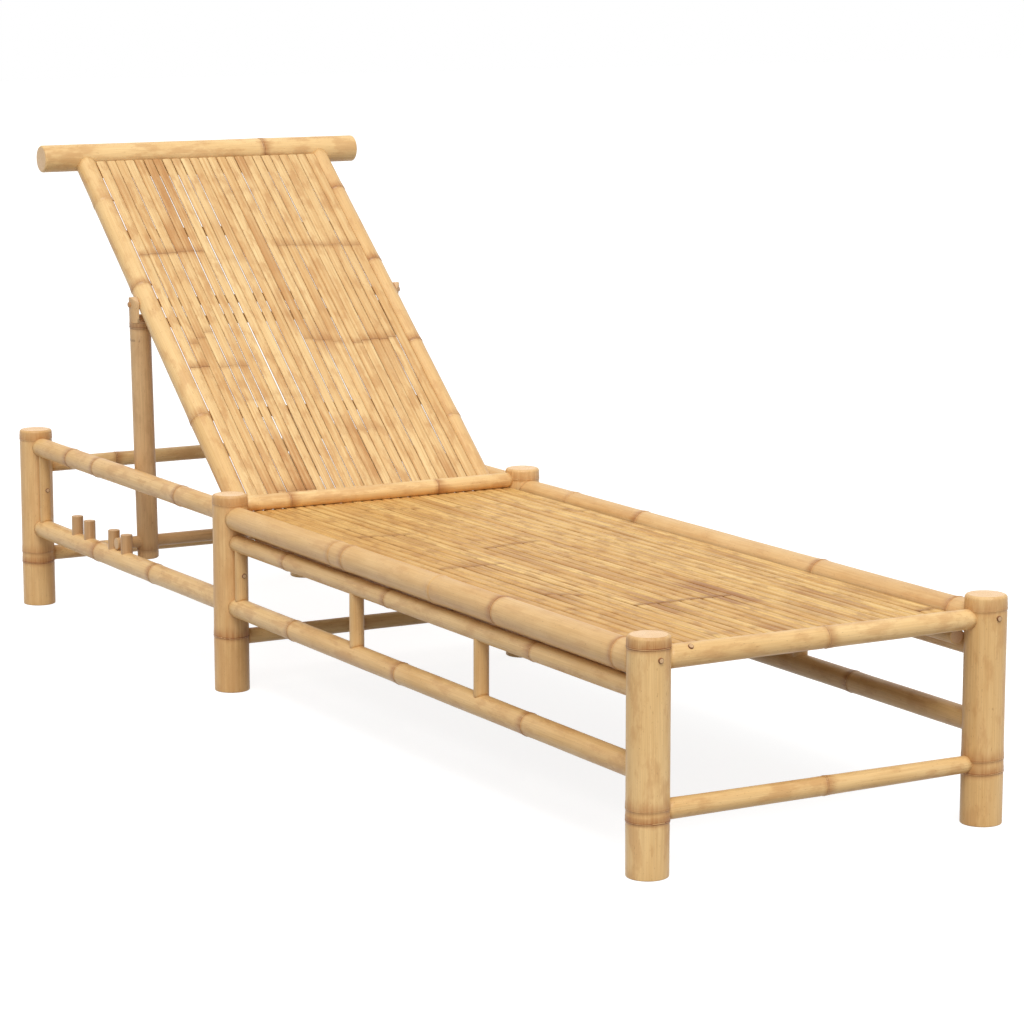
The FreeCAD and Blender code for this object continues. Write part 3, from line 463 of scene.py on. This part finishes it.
def meshPiece(title, grids):
    # joins rings of points into closed shells: quads between neighbouring rings and a fan of triangles on each
    # end
    points, spots, quads, fans, count = [], [], [], [], 0
    marks = {"past": [], "ahead": [], "scar": [], "cutFace": [], "tone": [], "blush": []}
    for grid in grids:
        rows, columns = grid["points"].shape[:2]
        i, j = np.meshgrid(np.arange(rows - 1), np.arange(columns), indexing="ij")
        here, right = count + i * columns + j, count + i * columns + (j + 1) % columns
        quads.append(np.stack([here, right, right + columns, here + columns], -1).reshape(-1, 4))
        lowMid, j = count + rows * columns, np.arange(columns)
        k, last = (j + 1) % columns, count + (rows - 1) * columns
        fans.append(np.stack([np.full(columns, lowMid), count + k, count + j], -1))
        fans.append(np.stack([np.full(columns, lowMid + 1), last + j, last + k], -1))
        points += [grid["points"].reshape(-1, 3), np.array(grid["middle"])]
        spots += [grid["spot"].reshape(-1, 3), grid["spot"][[0, -1]].mean(1)]
        for key, store in marks.items():
            store += [grid[key].reshape(-1), grid[key][[0, -1]].mean(1)]
        count += rows * columns + 2
    mesh = bpy.data.meshes.new(title)
    faces = np.concatenate(quads).tolist() + np.concatenate(fans).tolist()
    mesh.from_pydata(np.concatenate(points).tolist(), [], faces)
    mesh.polygons.foreach_set("use_smooth", np.ones(len(mesh.polygons), bool))
    for key, values in marks.items():
        values = np.concatenate(values).astype(np.float32)
        mesh.attributes.new(key, "FLOAT", "POINT").data.foreach_set("value", values)
    spot = np.concatenate(spots).astype(np.float32).ravel()
    mesh.attributes.new("spot", "FLOAT_VECTOR", "POINT").data.foreach_set("vector", spot)
    mesh.update()
    piece = bpy.data.objects.new(title, mesh)
    bpy.context.collection.objects.link(piece)
    return piece


def addPiece(name, grids, material, body, nodes):
    # makes the piece, hangs it on its body and lets it stand for the named solids
    piece = meshPiece(name, grids)
    piece.data.materials.append(material)
    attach(piece, body)
    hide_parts(*nodes)


# posts: stand on the floor, cut just above a node at the top; nodes are heights above the floor
posts = {
    "radius": {"foot": 0.0270, "mid": 0.0262, "head": 0.0270}, "tall": 0.2995, "lowRim": 0.0018,
    "rim": 0.0042,
    "foot_left": {"nodes": (0.070, 0.085, 0.2842), "scars": (1.0, 0.65, 1.0), "seed": 3, "blush": 0.04},
    "foot_right": {"nodes": (0.069, 0.086, 0.281), "scars": (0.9, 0.75, 0.55), "seed": 8, "blush": 0.12},
    "mid_left": {"nodes": (0.084, 0.2855), "scars": (1.0, 0.5), "seed": 12, "blush": 0.46},
    "mid_right": {"nodes": (0.064, 0.284), "scars": (0.8, 0.6), "seed": 17, "blush": 0.2},
    "head_left": {"nodes": (0.0746, 0.092, 0.2845), "scars": (1.0, 0.6, 0.6), "seed": 21, "blush": 0.36},
    "head_right": {"nodes": (0.086, 0.2865), "scars": (0.9, 0.7), "seed": 26},
}
for end in ("foot", "mid", "head"):
    for side, sign in bothSides:
        x, y, key = sign * place["postX"], place[end + "Y"], end + "_" + side
        grid = culmGrid({
            "start": (x, y, 0), "end": (x, y, posts["tall"]), "radii": (posts["radius"][end],) * 2,
            "low": ("cut", posts["lowRim"]), "high": ("cut", posts["rim"]), "dome": 0.0004,
            "across": (1, 0, 0), "sides": 64, "wave": 0.6, "ridge": 0.5, **posts[key]})
        addPiece("culm_post_" + key, [grid], culmGold, "frame", ["post_" + key])
print("scene: posts made")

# side rails: hollowed to the posts at both ends; nodes are metres from the foot post, or from the middle post
sideRails = {
    "seat_rail": {"z": 0.265, "radii": (0.0208, 0.0178), "ends": ("footY", "midY"), "blush": 0.26,
                  "nodes": {-1: (0.052, 0.354, 0.524, 0.782, 0.822), 1: (0.055, 0.363, 0.820, 1.020)},
                  "scars": {-1: (0.8, 1.0, 0.15, 0.7, 0.5), 1: (0.9, 0.9, 0.9, 0.4)}},
    "under_rail": {"z": 0.228, "radii": (0.0130, 0.0130), "ends": ("footY", "midY"),
                   "nodes": {-1: (0.267, 0.665, 0.980), 1: (0.190, 0.520, 0.880)}},
    "low_rail": {"z": 0.130, "radii": (0.0151, 0.0151), "ends": ("footY", "midY"),
                 "nodes": {-1: (0.283, 0.630, 0.960), 1: (0.282, 0.640, 0.985)}},
    "head_rail": {"z": 0.271, "radii": (0.0158, 0.0158), "ends": ("midY", "headY"),
                  "nodes": {-1: (0.172, 0.495, 0.606), 1: (0.260, 0.600)}},
    "slot_rail": {"z": 0.1325, "radii": (0.0158, 0.0158), "ends": ("midY", "headY"),
                  "nodes": {-1: (0.275, 0.497), 1: (0.180, 0.545)}},
}
for number, (rail, spec) in enumerate(sideRails.items()):
    low, high = spec["ends"]
    for side, sign in bothSides:
        x, nodes = sign * place["postX"], spec["nodes"][sign]
        grid = culmGrid({
            "start": (x, place[low], spec["z"]), "end": (x, place[high], spec["z"]), "radii": spec["radii"],
            "nodes": nodes, "scars": spec["scars"][sign] if "scars" in spec else (0.9,) * len(nodes),
            "low": ("round", place["hold"][low]), "high": ("round", place["hold"][high]),
            "across": (1, 0, 0), "sides": 48, "seed": seeds["sideRail"] + 2 * number + (sign > 0),
            "sway": 0.0005, "blush": spec.get("blush", 0.1)})
        addPiece("culm_" + rail + "_" + side, [grid], culmGold, "frame", [rail + "_" + side])

# cross rails: the same along x; nodes are x from the middle plane
crossRails = {
    "foot_cross": {"y": "footY", "z": 0.269, "radii": (0.0148, 0.0131), "nodes": (0.004,)},
    "foot_low_cross": {"y": "footY", "z": 0.080, "radii": (0.0133, 0.0111), "nodes": (0.005,)},
    "mid_cross": {"y": "midY", "z": 0.2822, "radii": (0.0117, 0.0117), "nodes": (-0.156, 0.097),
                  "tones": (0.1, 0.0, 0.2)},
    "mid_low_cross": {"y": "midY", "z": 0.080, "radii": (0.0118, 0.0118), "nodes": (-0.04, 0.15)},
    "head_cross": {"y": "headY", "z": 0.237, "radii": (0.0120, 0.0120), "nodes": (-0.11, 0.12)},
    "head_low_cross": {"y": "headY", "z": 0.085, "radii": (0.0123, 0.0123), "nodes": (-0.06, 0.14)},
}
for number, (rail, spec) in enumerate(crossRails.items()):
    y, z, hold = place[spec["y"]], spec["z"], ("round", place["hold"][spec["y"]])
    grid = culmGrid({
        "start": (-place["postX"], y, z), "end": (place["postX"], y, z), "radii": spec["radii"],
        "nodes": [place["postX"] + n for n in spec["nodes"]], "low": hold, "high": hold, "across": (0, 1, 0),
        "sides": 44, "seed": seeds["crossRail"] + number, "sway": 0.0004, "tones": spec.get("tones")})
    addPiece("culm_" + rail, [grid], culmGold, "frame", [rail])

# struts and guard poles: upright between two side rails; low and high are height and radius hollowed to
strut = {"radius": 0.0103, "low": (0.130, 0.0142), "high": (0.228, 0.0116)}
uprights = {
    "strut_one": {**strut, "y": place["footY"] + 0.411},
    "strut_two": {**strut, "y": place["footY"] + 0.767},
    "guard_pole_mid": {**strut, "y": place["midY"] - 0.0372, "radius": 0.0098},
    "guard_pole_head": {"y": place["headY"] - 0.0382, "radius": 0.0098, "low": (0.1325, 0.0148),
                        "high": (0.271, 0.0148)},
}
for number, (pole, spec) in enumerate(uprights.items()):
    for side, sign in bothSides:
        x = sign * place["postX"]
        grid = culmGrid({
            "start": (x, spec["y"], spec["low"][0]), "end": (x, spec["y"], spec["high"][0]),
            "radii": (spec["radius"],) * 2, "low": ("round", spec["low"][1]),
            "high": ("round", spec["high"][1]), "across": (1, 0, 0), "sides": 36,
            "seed": seeds["upright"] + 2 * number + (sign > 0), "step": 0.006, "blush": 0.28})
        addPiece("culm_" + pole + "_" + side, [grid], culmGold, "frame", [pole + "_" + side])
print("scene: rails and uprights made")

# pegs, four on each pegged rail, in two pairs with a slot between
pegs = {"radius": 0.0096, "top": 0.1768, "foot": 0.1395, "slots": (0.418, 0.570), "half": 0.0255}
for side, sign in bothSides:
    x, grids = sign * place["postX"], []
    for number, y in enumerate([slot + way * pegs["half"] for slot in pegs["slots"] for way in (-1, 1)]):
        y = y + place["midY"]
        grids.append(culmGrid({
            "start": (x, y, pegs["foot"]), "end": (x, y, pegs["top"]),
            "radii": (pegs["radius"], pegs["radius"] * 0.99), "low": ("cut", 0.0006), "high": ("cut", 0.0011),
            "across": (1, 0, 0), "sides": 32, "seed": seeds["peg"] + number + 4 * (sign > 0), "step": 0.004,
            "wave": 0.5, "blush": 0.4}))
    addPiece("culm_pegs_" + side, grids, culmBrown, "frame", ["pegs_" + side])

# ledgers under the sides of the seat
ledger = {"x": 0.2279, "z": 0.2425, "from": -0.9496, "to": 0.1561, "radius": 0.0110,
          "nodes": (0.21, 0.49, 0.80)}
for side, sign in bothSides:
    x = sign * ledger["x"]
    grid = culmGrid({
        "start": (x, ledger["from"], ledger["z"]), "end": (x, ledger["to"], ledger["z"]),
        "radii": (ledger["radius"],) * 2, "nodes": ledger["nodes"], "across": (1, 0, 0), "sides": 32,
        "seed": seeds["ledger"] + (sign > 0), "step": 0.02})
    addPiece("culm_ledger_" + side, [grid], culmGold, "frame", ["ledger_" + side])

# half-round battens on the ledgers, flat side up: x = -wide*cos(t), z = -deep*sin(t) under the flat
batten = {"count": 4, "first": 0.130, "pitch": 0.300, "z": 0.264, "half": 0.2304, "flat": 0.0096,
          "wide": 0.0099, "deep": 0.0097}
halfTurn = np.linspace(0, np.pi, 13)[1:-1]
halfRound = np.concatenate([
    np.stack([np.linspace(batten["flat"], -batten["flat"], 7), np.full(7, -0.0001)], -1),
    np.stack([-batten["wide"] * np.cos(halfTurn), -0.0002 - batten["deep"] * np.sin(halfTurn)], -1)])
# the flat top is a cut face: in the seat's finish it carries painted shade where it shows between the splits
halfCut = np.concatenate([np.ones(7), np.zeros(len(halfTurn))])
for number in range(batten["count"]):
    y, name = place["footY"] + batten["first"] + batten["pitch"] * number, "seat_batten_%d" % (number + 1)
    grid = splitGrid({
        "start": (-batten["half"], y, batten["z"]), "end": (batten["half"], y, batten["z"]), "up": (0, 0, 1),
        "section": halfRound, "cutLine": halfCut, "rows": 26, "seed": seeds["seatBatten"] + number,
        "tone": 0.5, "marks": ((0.12 + 0.03 * number, 0.8), (0.36, 0.6))})
    addPiece("split_" + name, [grid], splitSeat, "frame", [name])
print("scene: pegs, ledgers and battens made")


def slatMarks(count, length, seed, spacing, slope, seen):
    # nodes of a row of splits, as (place, strength): neighbours from one culm share theirs, shifted a little
    # from each to the next. seen holds the strong ones, as first split, last split, place at each, strength
    rng = np.random.default_rng(seed)
    rows, left = [], 0
    for number in range(count):
        if left == 0:
            left = int(rng.integers(3, 7))
            base, lean, member = rng.uniform(0.02, spacing), rng.uniform(-1, 1) * slope, 0
            gaps = rng.uniform(0.8, 1.2, 12) * spacing
        at = base + lean * member + np.concatenate([[0], np.cumsum(gaps)]) + rng.normal(0, 0.0015)
        marks = [(float(v), float(rng.uniform(0.12, 0.4))) for v in at if v < length]
        strong = [(a + (b - a) * (number - i) / max(j - i, 1) + float(rng.normal(0, 0.0008)), k)
                  for i, j, a, b, k in seen if i <= number <= j]
        marks = [m for m in marks if all(abs(m[0] - s[0]) > 0.06 for s in strong)]
        rows.append(marks + strong)
        left, member = left - 1, member + 1
    return rows


def blushOf(table, number):
    # a split's own stains, as from, to, strength, out of a table with first and last split before them
    return [(low, high, strength) for i, j, low, high, strength in table if i <= number <= j]


# seat: splits from the foot cross rail to the middle of the bar, notched round the middle posts. sunk is how
# far they lie under the solid's top, and clear the radius kept free round the posts
seat = {"count": 28, "pitch": 0.0164, "width": 0.0155, "thick": 0.0066, "crown": 0.0007, "lean": 0.0005,
        "thin": 0.1, "top": 0.2710, "sunk": 0.0001, "from": -0.9594, "to": 0.2068, "clear": 0.0278}
seatBlush = (
    (12, 13, 0.93, 1.03, 0.5), (5, 6, 0.80, 0.89, 0.5), (10, 11, 0.56, 0.68, 0.6), (4, 6, 0.57, 0.62, 0.5),
    (4, 5, 0.33, 0.42, 0.7), (15, 17, 0.22, 0.35, 1.0), (9, 10, 0.21, 0.30, 0.8), (14, 15, 0.34, 0.41, 0.5),
    (25, 26, 0.41, 0.53, 0.6), (12, 13, 0.42, 0.56, 0.4), (16, 17, 1.00, 1.11, 0.5), (3, 3, 0.12, 0.20, 0.6),
    (22, 23, 0.14, 0.24, 0.8), (18, 19, 0.08, 0.16, 0.7), (12, 13, 0.02, 0.07, 0.8),
    (26, 27, 0.16, 0.22, 0.6), (20, 21, 0.50, 0.62, 0.4), (24, 24, 0.70, 0.84, 0.5), (7, 8, 0.98, 1.06, 0.4),
    (0, 1, 0.70, 0.80, 0.4))
seatMarks = slatMarks(seat["count"], seat["to"] - seat["from"], seeds["seatMarks"], 0.33, 0.010, (
    (3, 7, 0.881, 0.868, 0.8), (10, 15, 0.717, 0.730, 0.8), (2, 7, 0.606, 0.603, 0.7),
    (4, 6, 0.382, 0.355, 0.8), (8, 16, 0.262, 0.258, 1.0), (26, 27, 0.940, 0.915, 0.6),
    (10, 14, 1.082, 1.057, 0.6), (26, 27, 0.05, 0.053, 1.0)))
rng = np.random.default_rng(seeds["seatRow"])
grids = []
for number in range(seat["count"]):
    x, z = (number - (seat["count"] - 1) / 2) * seat["pitch"], seat["top"] - seat["sunk"]
    section, cutLine = slatSection(seat["width"] + rng.uniform(-0.0004, 0.0003), seat)

    def shave(across, s, x=x):
        # keeps the split off the middle post: |x| stays under postX - sqrt(R*R - dy*dy)
        dy = seat["from"] + s - place["midY"]
        free = place["postX"] - np.sqrt(np.maximum(seat["clear"] ** 2 - dy ** 2, 0))
        free = np.where(np.abs(dy) < seat["clear"], free, 1.0)
        return x - np.clip(x - across, -free, free)

    grids.append(splitGrid({
        "start": (x, seat["from"], z), "end": (x, seat["to"], z), "up": (0, 0, 1), "section": section,
        "cutLine": cutLine, "seed": seeds["seatSlat"] + number, "rows": 40, "tone": rng.uniform(0.0, 1.0),
        "marks": seatMarks[number], "warp": 0.0002, "bow": rng.uniform(-0.0004, 0.0004), "shave": shave,
        "blush": blushOf(seatBlush, number)}))
addPiece("split_seat_slats", grids, splitSeat, "frame", ["seat_slats"])
print("scene: seat made")

# backrest: two rails, the headbar and the battens. heel is how far a rail goes below the hinge, and hold the
# radius of the headbar that its upper end is hollowed to
backrest = {"rail": 0.0166, "heel": 0.0162, "hold": 0.0212, "headbar": 0.0219, "barHalf": 0.2842,
            "barNode": 0.108, "batten": 0.0079, "battenHalf": 0.2036, "battens": (0.185, 0.387, 0.584, 0.728),
            "nodes": {-1: (0.177, 0.463, 0.656), 1: (0.136, 0.303, 0.488, 0.659)},
            "scars": {-1: (0.7, 0.8, 0.3), 1: (0.6, 1.0, 1.0, 0.9)}, "blush": {-1: 0.05, 1: 0.2}}
outward = np.subtract(backPoint(0, 0, 1), backPoint(0, 0, 0))
for side, sign in bothSides:
    x = sign * place["backX"]
    grid = culmGrid({
        "start": backPoint(x, -backrest["heel"], 0), "end": backPoint(x, place["backLong"], 0),
        "radii": (backrest["rail"],) * 2, "nodes": [n + backrest["heel"] for n in backrest["nodes"][sign]],
        "scars": backrest["scars"][sign], "low": ("cut", 0.006), "high": ("round", backrest["hold"]),
        "across": outward, "sides": 48, "seed": seeds["backRail"] + (sign > 0), "sway": 0.0004,
        "blush": backrest["blush"][sign]})
    addPiece("culm_back_rail_" + side, [grid], culmGold, "backrest", ["back_rail_" + side])
grid = culmGrid({
    "start": backPoint(-backrest["barHalf"], place["backLong"], 0),
    "end": backPoint(backrest["barHalf"], place["backLong"], 0), "radii": (backrest["headbar"],) * 2,
    "nodes": (backrest["barHalf"] + backrest["barNode"],), "scars": (1.0,), "tones": (0.0, 0.0),
    "low": ("cut", 0.0028), "high": ("cut", 0.0028), "across": (0, 1, 0), "sides": 64,
    "seed": seeds["headbar"], "wave": 0.5, "ridge": 0.6})
addPiece("culm_headbar", [grid], culmGold, "backrest", ["headbar"])
for number, along in enumerate(backrest["battens"]):
    name = "back_batten_%d" % (number + 1)
    grid = culmGrid({
        "start": backPoint(-backrest["battenHalf"], along, 0),
        "end": backPoint(backrest["battenHalf"], along, 0), "radii": (backrest["batten"],) * 2,
        "nodes": (0.10 + 0.02 * number, 0.31), "across": (0, 1, 0), "sides": 32,
        "seed": seeds["backBatten"] + number, "step": 0.02})
    addPiece("culm_" + name, [grid], culmGold, "backrest", [name])

# splits of the backrest: some are narrower, and the outermost ones wider on their outer side
backSlats = {"count": 24, "pitch": 0.0165, "width": 0.0160, "thick": 0.0060, "crown": 0.0007, "lean": 0.0011,
             "thin": 0.4, "top": 0.0146, "sunk": 0.0003, "from": 0.004, "to": 0.7418,
             "narrow": {3: 0.0005, 4: 0.0006, 5: 0.0008, 6: 0.0006, 8: 0.0005, 9: 0.0004},
             "outer": {0: -0.0009, 23: 0.0015}}
backBlush = (
    (5, 6, 0.60, 0.735, 0.9), (4, 5, 0.53, 0.58, 0.8), (1, 1, 0.655, 0.69, 0.5), (13, 13, 0.54, 0.58, 0.6),
    (13, 13, 0.47, 0.505, 0.7), (12, 13, 0.355, 0.42, 0.7), (14, 15, 0.30, 0.33, 0.7),
    (2, 2, 0.30, 0.35, 0.5), (5, 5, 0.265, 0.31, 0.7), (5, 6, 0.005, 0.10, 1.0), (2, 2, 0.0, 0.025, 0.7),
    (13, 13, 0.03, 0.12, 0.9),
    (21, 21, 0.0, 0.035, 0.7), (15, 15, 0.70, 0.73, 0.8), (16, 16, 0.34, 0.40, 0.5), (9, 10, 0.56, 0.58, 0.5),
    (8, 8, 0.0, 0.12, 0.4), (19, 19, 0.15, 0.24, 0.3), (20, 21, 0.24, 0.30, 0.5))
backMarks = slatMarks(
    backSlats["count"], backSlats["to"] - backSlats["from"], seeds["backMarks"], 0.30, 0.006, (
        (0, 6, 0.520, 0.525, 0.9), (15, 23, 0.527, 0.519, 0.7), (0, 1, 0.273, 0.271, 1.0),
        (3, 5, 0.269, 0.268, 0.7), (13, 16, 0.317, 0.306, 0.7), (18, 22, 0.304, 0.309, 0.9),
        (1, 3, 0.322, 0.345, 0.7), (3, 6, 0.005, 0.005, 0.8)))
rng = np.random.default_rng(seeds["backRow"])
grids = []
for number in range(backSlats["count"]):
    x = (number - (backSlats["count"] - 1) / 2) * backSlats["pitch"]
    width = backSlats["width"] + rng.uniform(-0.0004, 0.0004) - backSlats["narrow"].get(number, 0.0)
    outer = backSlats["outer"].get(number, 0.0)
    x, rise = x + outer / 2, backSlats["top"] - backSlats["sunk"]
    section, cutLine = slatSection(width + abs(outer), backSlats)
    grids.append(splitGrid({
        "start": backPoint(x, backSlats["from"], rise), "end": backPoint(x, backSlats["to"], rise),
        "up": outward, "section": section, "cutLine": cutLine, "seed": seeds["backSlat"] + number, "rows": 34,
        "tone": rng.uniform(0.0, 0.7), "marks": backMarks[number], "warp": 0.0002,
        "bow": rng.uniform(-0.0005, 0.0005), "blush": blushOf(backBlush, number)}))
addPiece("split_back_slats", grids, splitBack, "backrest", ["back_slats"])
print("scene: backrest made")

# prop: two legs, each a culm up to its shoulder and one outer tongue above it, and the bar across their feet.
# shoulder is how far the shoulder lies under the rod, past how far the culm goes on before it is hollowed,
# root how far the tongue reaches down into the culm, clear the radius kept free round the backrest rail, and
# rodUnder how far the rod lies under that rail's middle
prop = {"radius": 0.0170, "topX": 0.2230, "lowX": 0.2049, "below": 0.027, "shoulder": 0.029, "past": 0.012,
        "root": 0.030, "innerX": 0.2296, "tongueHalf": 0.0148, "crest": 0.0120, "clear": 0.0190,
        "rodUnder": 0.006, "bar": 0.0096, "barHalf": 0.2602}


def tongueGrid(start, axis, shoulder, sign, seed):
    # the outer strip of the leg: outside is the culm's own arc, inside the plane x = innerX, and above the
    # rod the half width falls as sqrt(1 - t*t) to a round top; both faces round off as u^6 towards the edges
    crest = prop["crest"] * np.sin(np.radians([15, 30, 45, 58, 70, 80, 87]))
    rise = np.concatenate([np.linspace(-prop["root"], prop["shoulder"], 14), prop["shoulder"] + crest])
    fall = np.clip((rise - prop["shoulder"]) / prop["crest"], 0, 1)
    half = prop["tongueHalf"] * np.sqrt(np.clip(1 - fall ** 2, 0.0004, 1))
    u = np.linspace(-1, 1, 11)
    y = half[:, None] * u[None]
    centre = start[None] + (shoulder + rise)[:, None] * axis[None]
    outer = np.abs(centre[:, :1]) + np.sqrt(prop["radius"] ** 2 - y ** 2) - 0.0006 * np.abs(u[None]) ** 6
    inner = np.full_like(y, prop["innerX"]) + 0.0004 * np.abs(u[None]) ** 6
    x = np.concatenate([outer, inner[:, ::-1]], 1)
    y = np.concatenate([y, y[:, ::-1]], 1)
    points = np.stack([sign * x, centre[:, 1:2] + y, np.broadcast_to(centre[:, 2:3], x.shape)], -1)
    cut = np.broadcast_to(np.concatenate([np.zeros(11), np.ones(11)])[None], x.shape)
    if sign < 0:
        points, cut = points[:, ::-1], cut[:, ::-1]
    s = np.broadcast_to(rise[:, None], x.shape)
    far, none = np.full(x.shape, farGap), np.zeros(x.shape)
    return {"points": points, "spot": patternSpot(points[..., 0], points[..., 1], s, seed), "past": far,
            "ahead": far, "scar": none, "cutFace": np.array(cut), "tone": np.full(x.shape, 0.1),
            "blush": none, "middle": [points[0].mean(0), points[-1].mean(0)]}


for side, sign in bothSides:
    rod = np.array([sign * prop["topX"], place["rodY"], place["rodZ"]])
    bar = np.array([sign * prop["lowX"], place["barY"], place["barZ"]])
    long = float(np.linalg.norm(rod - bar))
    axis = (rod - bar) / long
    start = bar - axis * prop["below"]
    shoulder = long + prop["below"] - prop["shoulder"]
    leg = culmGrid({
        "start": start, "end": start + axis * (shoulder + prop["past"]), "radii": (prop["radius"],) * 2,
        "nodes": (0.015, 0.118, shoulder - 0.006), "scars": (0.6, 0.9, 0.9), "low": ("cut", 0.002),
        "high": ("cut", 0.0012), "across": (1, 0, 0), "sides": 48, "seed": seeds["propLeg"] + (sign > 0),
        "ridge": 0.7, "wave": 0.7})
    # the shoulder is hollowed under the backrest rail: z stays under the rail's round, seen across it
    points = leg["points"]
    dx, dy = np.abs(points[..., 0]) - place["backX"], points[..., 1] - place["rodY"]
    under = np.sqrt(np.maximum(prop["clear"] ** 2 - dx ** 2, 0)) - prop["rodUnder"]
    limit = (place["rodZ"] - under * math.cos(place["tilt"])
             + math.tan(place["tilt"]) * (dy - under * math.sin(place["tilt"])))
    # and it slopes: up by 1.2 for each metre towards the head, from 4 mm before the rod, by 11 mm at most
    step = place["rodZ"] - prop["shoulder"] + np.clip((dy + 0.004) * 1.2, 0, 0.011)
    points[..., 2] = np.minimum(points[..., 2], np.minimum(limit, step))
    leg["middle"][1] = points[-1].mean(0)
    tongue = tongueGrid(start, axis, shoulder, sign, seeds["tongue"] + (sign > 0))
    addPiece("culm_prop_leg_" + side, [leg, tongue], culmBrown, "prop", ["prop_leg_" + side])
grid = culmGrid({
    "start": (-prop["barHalf"], place["barY"], place["barZ"]),
    "end": (prop["barHalf"], place["barY"], place["barZ"]), "radii": (prop["bar"],) * 2,
    "nodes": (0.19, 0.43), "across": (0, 1, 0), "sides": 36, "seed": seeds["propBar"]})
addPiece("culm_prop_bar", [grid], culmBrown, "prop", ["prop_bar"])
print("scene: prop made")

# dowel heads, round and a little proud of the bamboo, each from start to end
dowel = {"radius": 0.0036, "rim": 0.0009, "dome": 0.0003}
outer = place["postX"]
pins = {
    "foot_post_pins": [((x, -1.0052, 0.272), (x, -0.975, 0.272)) for x in (-outer, outer)],
    "foot_cross_pin": [((-0.199, -0.98630, 0.28150), (-0.199, -0.97230, 0.26490))],
    "guard_pole_pins": [((x, y, z), (x, y + 0.034, z)) for x in (-outer, outer)
                        for y, z in ((0.1566, 0.182), (0.9276, 0.201))],
}
for number, (pin, ends) in enumerate(pins.items()):
    grids = [culmGrid({
        "start": low, "end": high, "radii": (dowel["radius"],) * 2, "low": ("cut", dowel["rim"]),
        "ridge": 0.0, "across": (1, 0, 0), "sides": 24, "seed": seeds["dowel"] + 5 * number + i,
        "step": 0.004, "dome": dowel["dome"]}) for i, (low, high) in enumerate(ends)]
    addPiece("dowel_" + pin, grids, dowelEnd, "frame", [pin])
for node in ("prop_rod", "hinge_rod", "ledger_pins"):
    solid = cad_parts[node]
    solid.data.materials.clear()
    solid.data.materials.append(pinWood)
print("scene: dowels made")


def seenDirectly(tree):
    # 1 for what the camera, a reflection or a clear material sees, and 0 for the light that falls on things
    rays = tree.nodes.new("ShaderNodeLightPath").outputs
    seen = sums(tree, "MAXIMUM", rays["Is Camera Ray"], rays["Is Glossy Ray"])
    return sums(tree, "MAXIMUM", seen, rays["Is Transmission Ray"])


# stage: a plain pale floor that reads white to the camera and keeps a soft shadow
stage = {"size": 40.0, "floor": (0.38, 0.38, 0.38, 1.0), "dust": (0.395, 0.395, 0.395, 1.0), "glow": 0.84,
         "sky": 0.56, "key": 2.05, "keyWide": 35, "keyTip": 36, "keyTurn": -26}
floorMesh = bpy.data.meshes.new("floor")
half = stage["size"] / 2
corners = [(-half, -half, 0), (half, -half, 0), (half, half, 0), (-half, half, 0)]
floorMesh.from_pydata(corners, [], [(0, 1, 2, 3)])
floor = bpy.data.objects.new("floor", floorMesh)
bpy.context.collection.objects.link(floor)
floorWhite, tree, shader = newMaterial("floorWhite")
shader.inputs["Roughness"].default_value = 0.9
shader.inputs["Specular IOR Level"].default_value = 0.0
dust = noise(tree, tree.nodes.new("ShaderNodeTexCoord").outputs["Object"], (3, 3, 3), 2, 0.5)
dusty = blendColor(tree, ramp(tree, dust, 0.3, 0.7), stage["floor"], stage["dust"])
tree.links.new(dusty, shader.inputs["Base Color"])
shader.inputs["Emission Color"].default_value = (1, 1, 1, 1)
glow = sums(tree, "MULTIPLY", seenDirectly(tree), stage["glow"])
tree.links.new(glow, shader.inputs["Emission Strength"])
floor.data.materials.append(floorWhite)

world = bpy.data.worlds.new("sky")
bpy.context.scene.world = world
world.use_nodes = True
tree = world.node_tree
tree.nodes.clear()
sky = tree.nodes.new("ShaderNodeBackground")
sky.inputs["Color"].default_value = (1, 1, 1, 1)
bright = sums(tree, "MULTIPLY_ADD", seenDirectly(tree), 1 - stage["sky"], stage["sky"])
tree.links.new(bright, sky.inputs["Strength"])
tree.links.new(sky.outputs[0], tree.nodes.new("ShaderNodeOutputWorld").inputs[0])

keyData = bpy.data.lights.new("key", "SUN")
keyData.energy = stage["key"]
keyData.angle = math.radians(stage["keyWide"])
key = bpy.data.objects.new("key", keyData)
key.rotation_euler = (math.radians(stage["keyTip"]), 0, math.radians(stage["keyTurn"]))
bpy.context.collection.objects.link(key)
print("scene: stage and lights set")

bpy.context.scene.view_settings.view_transform = "Standard"
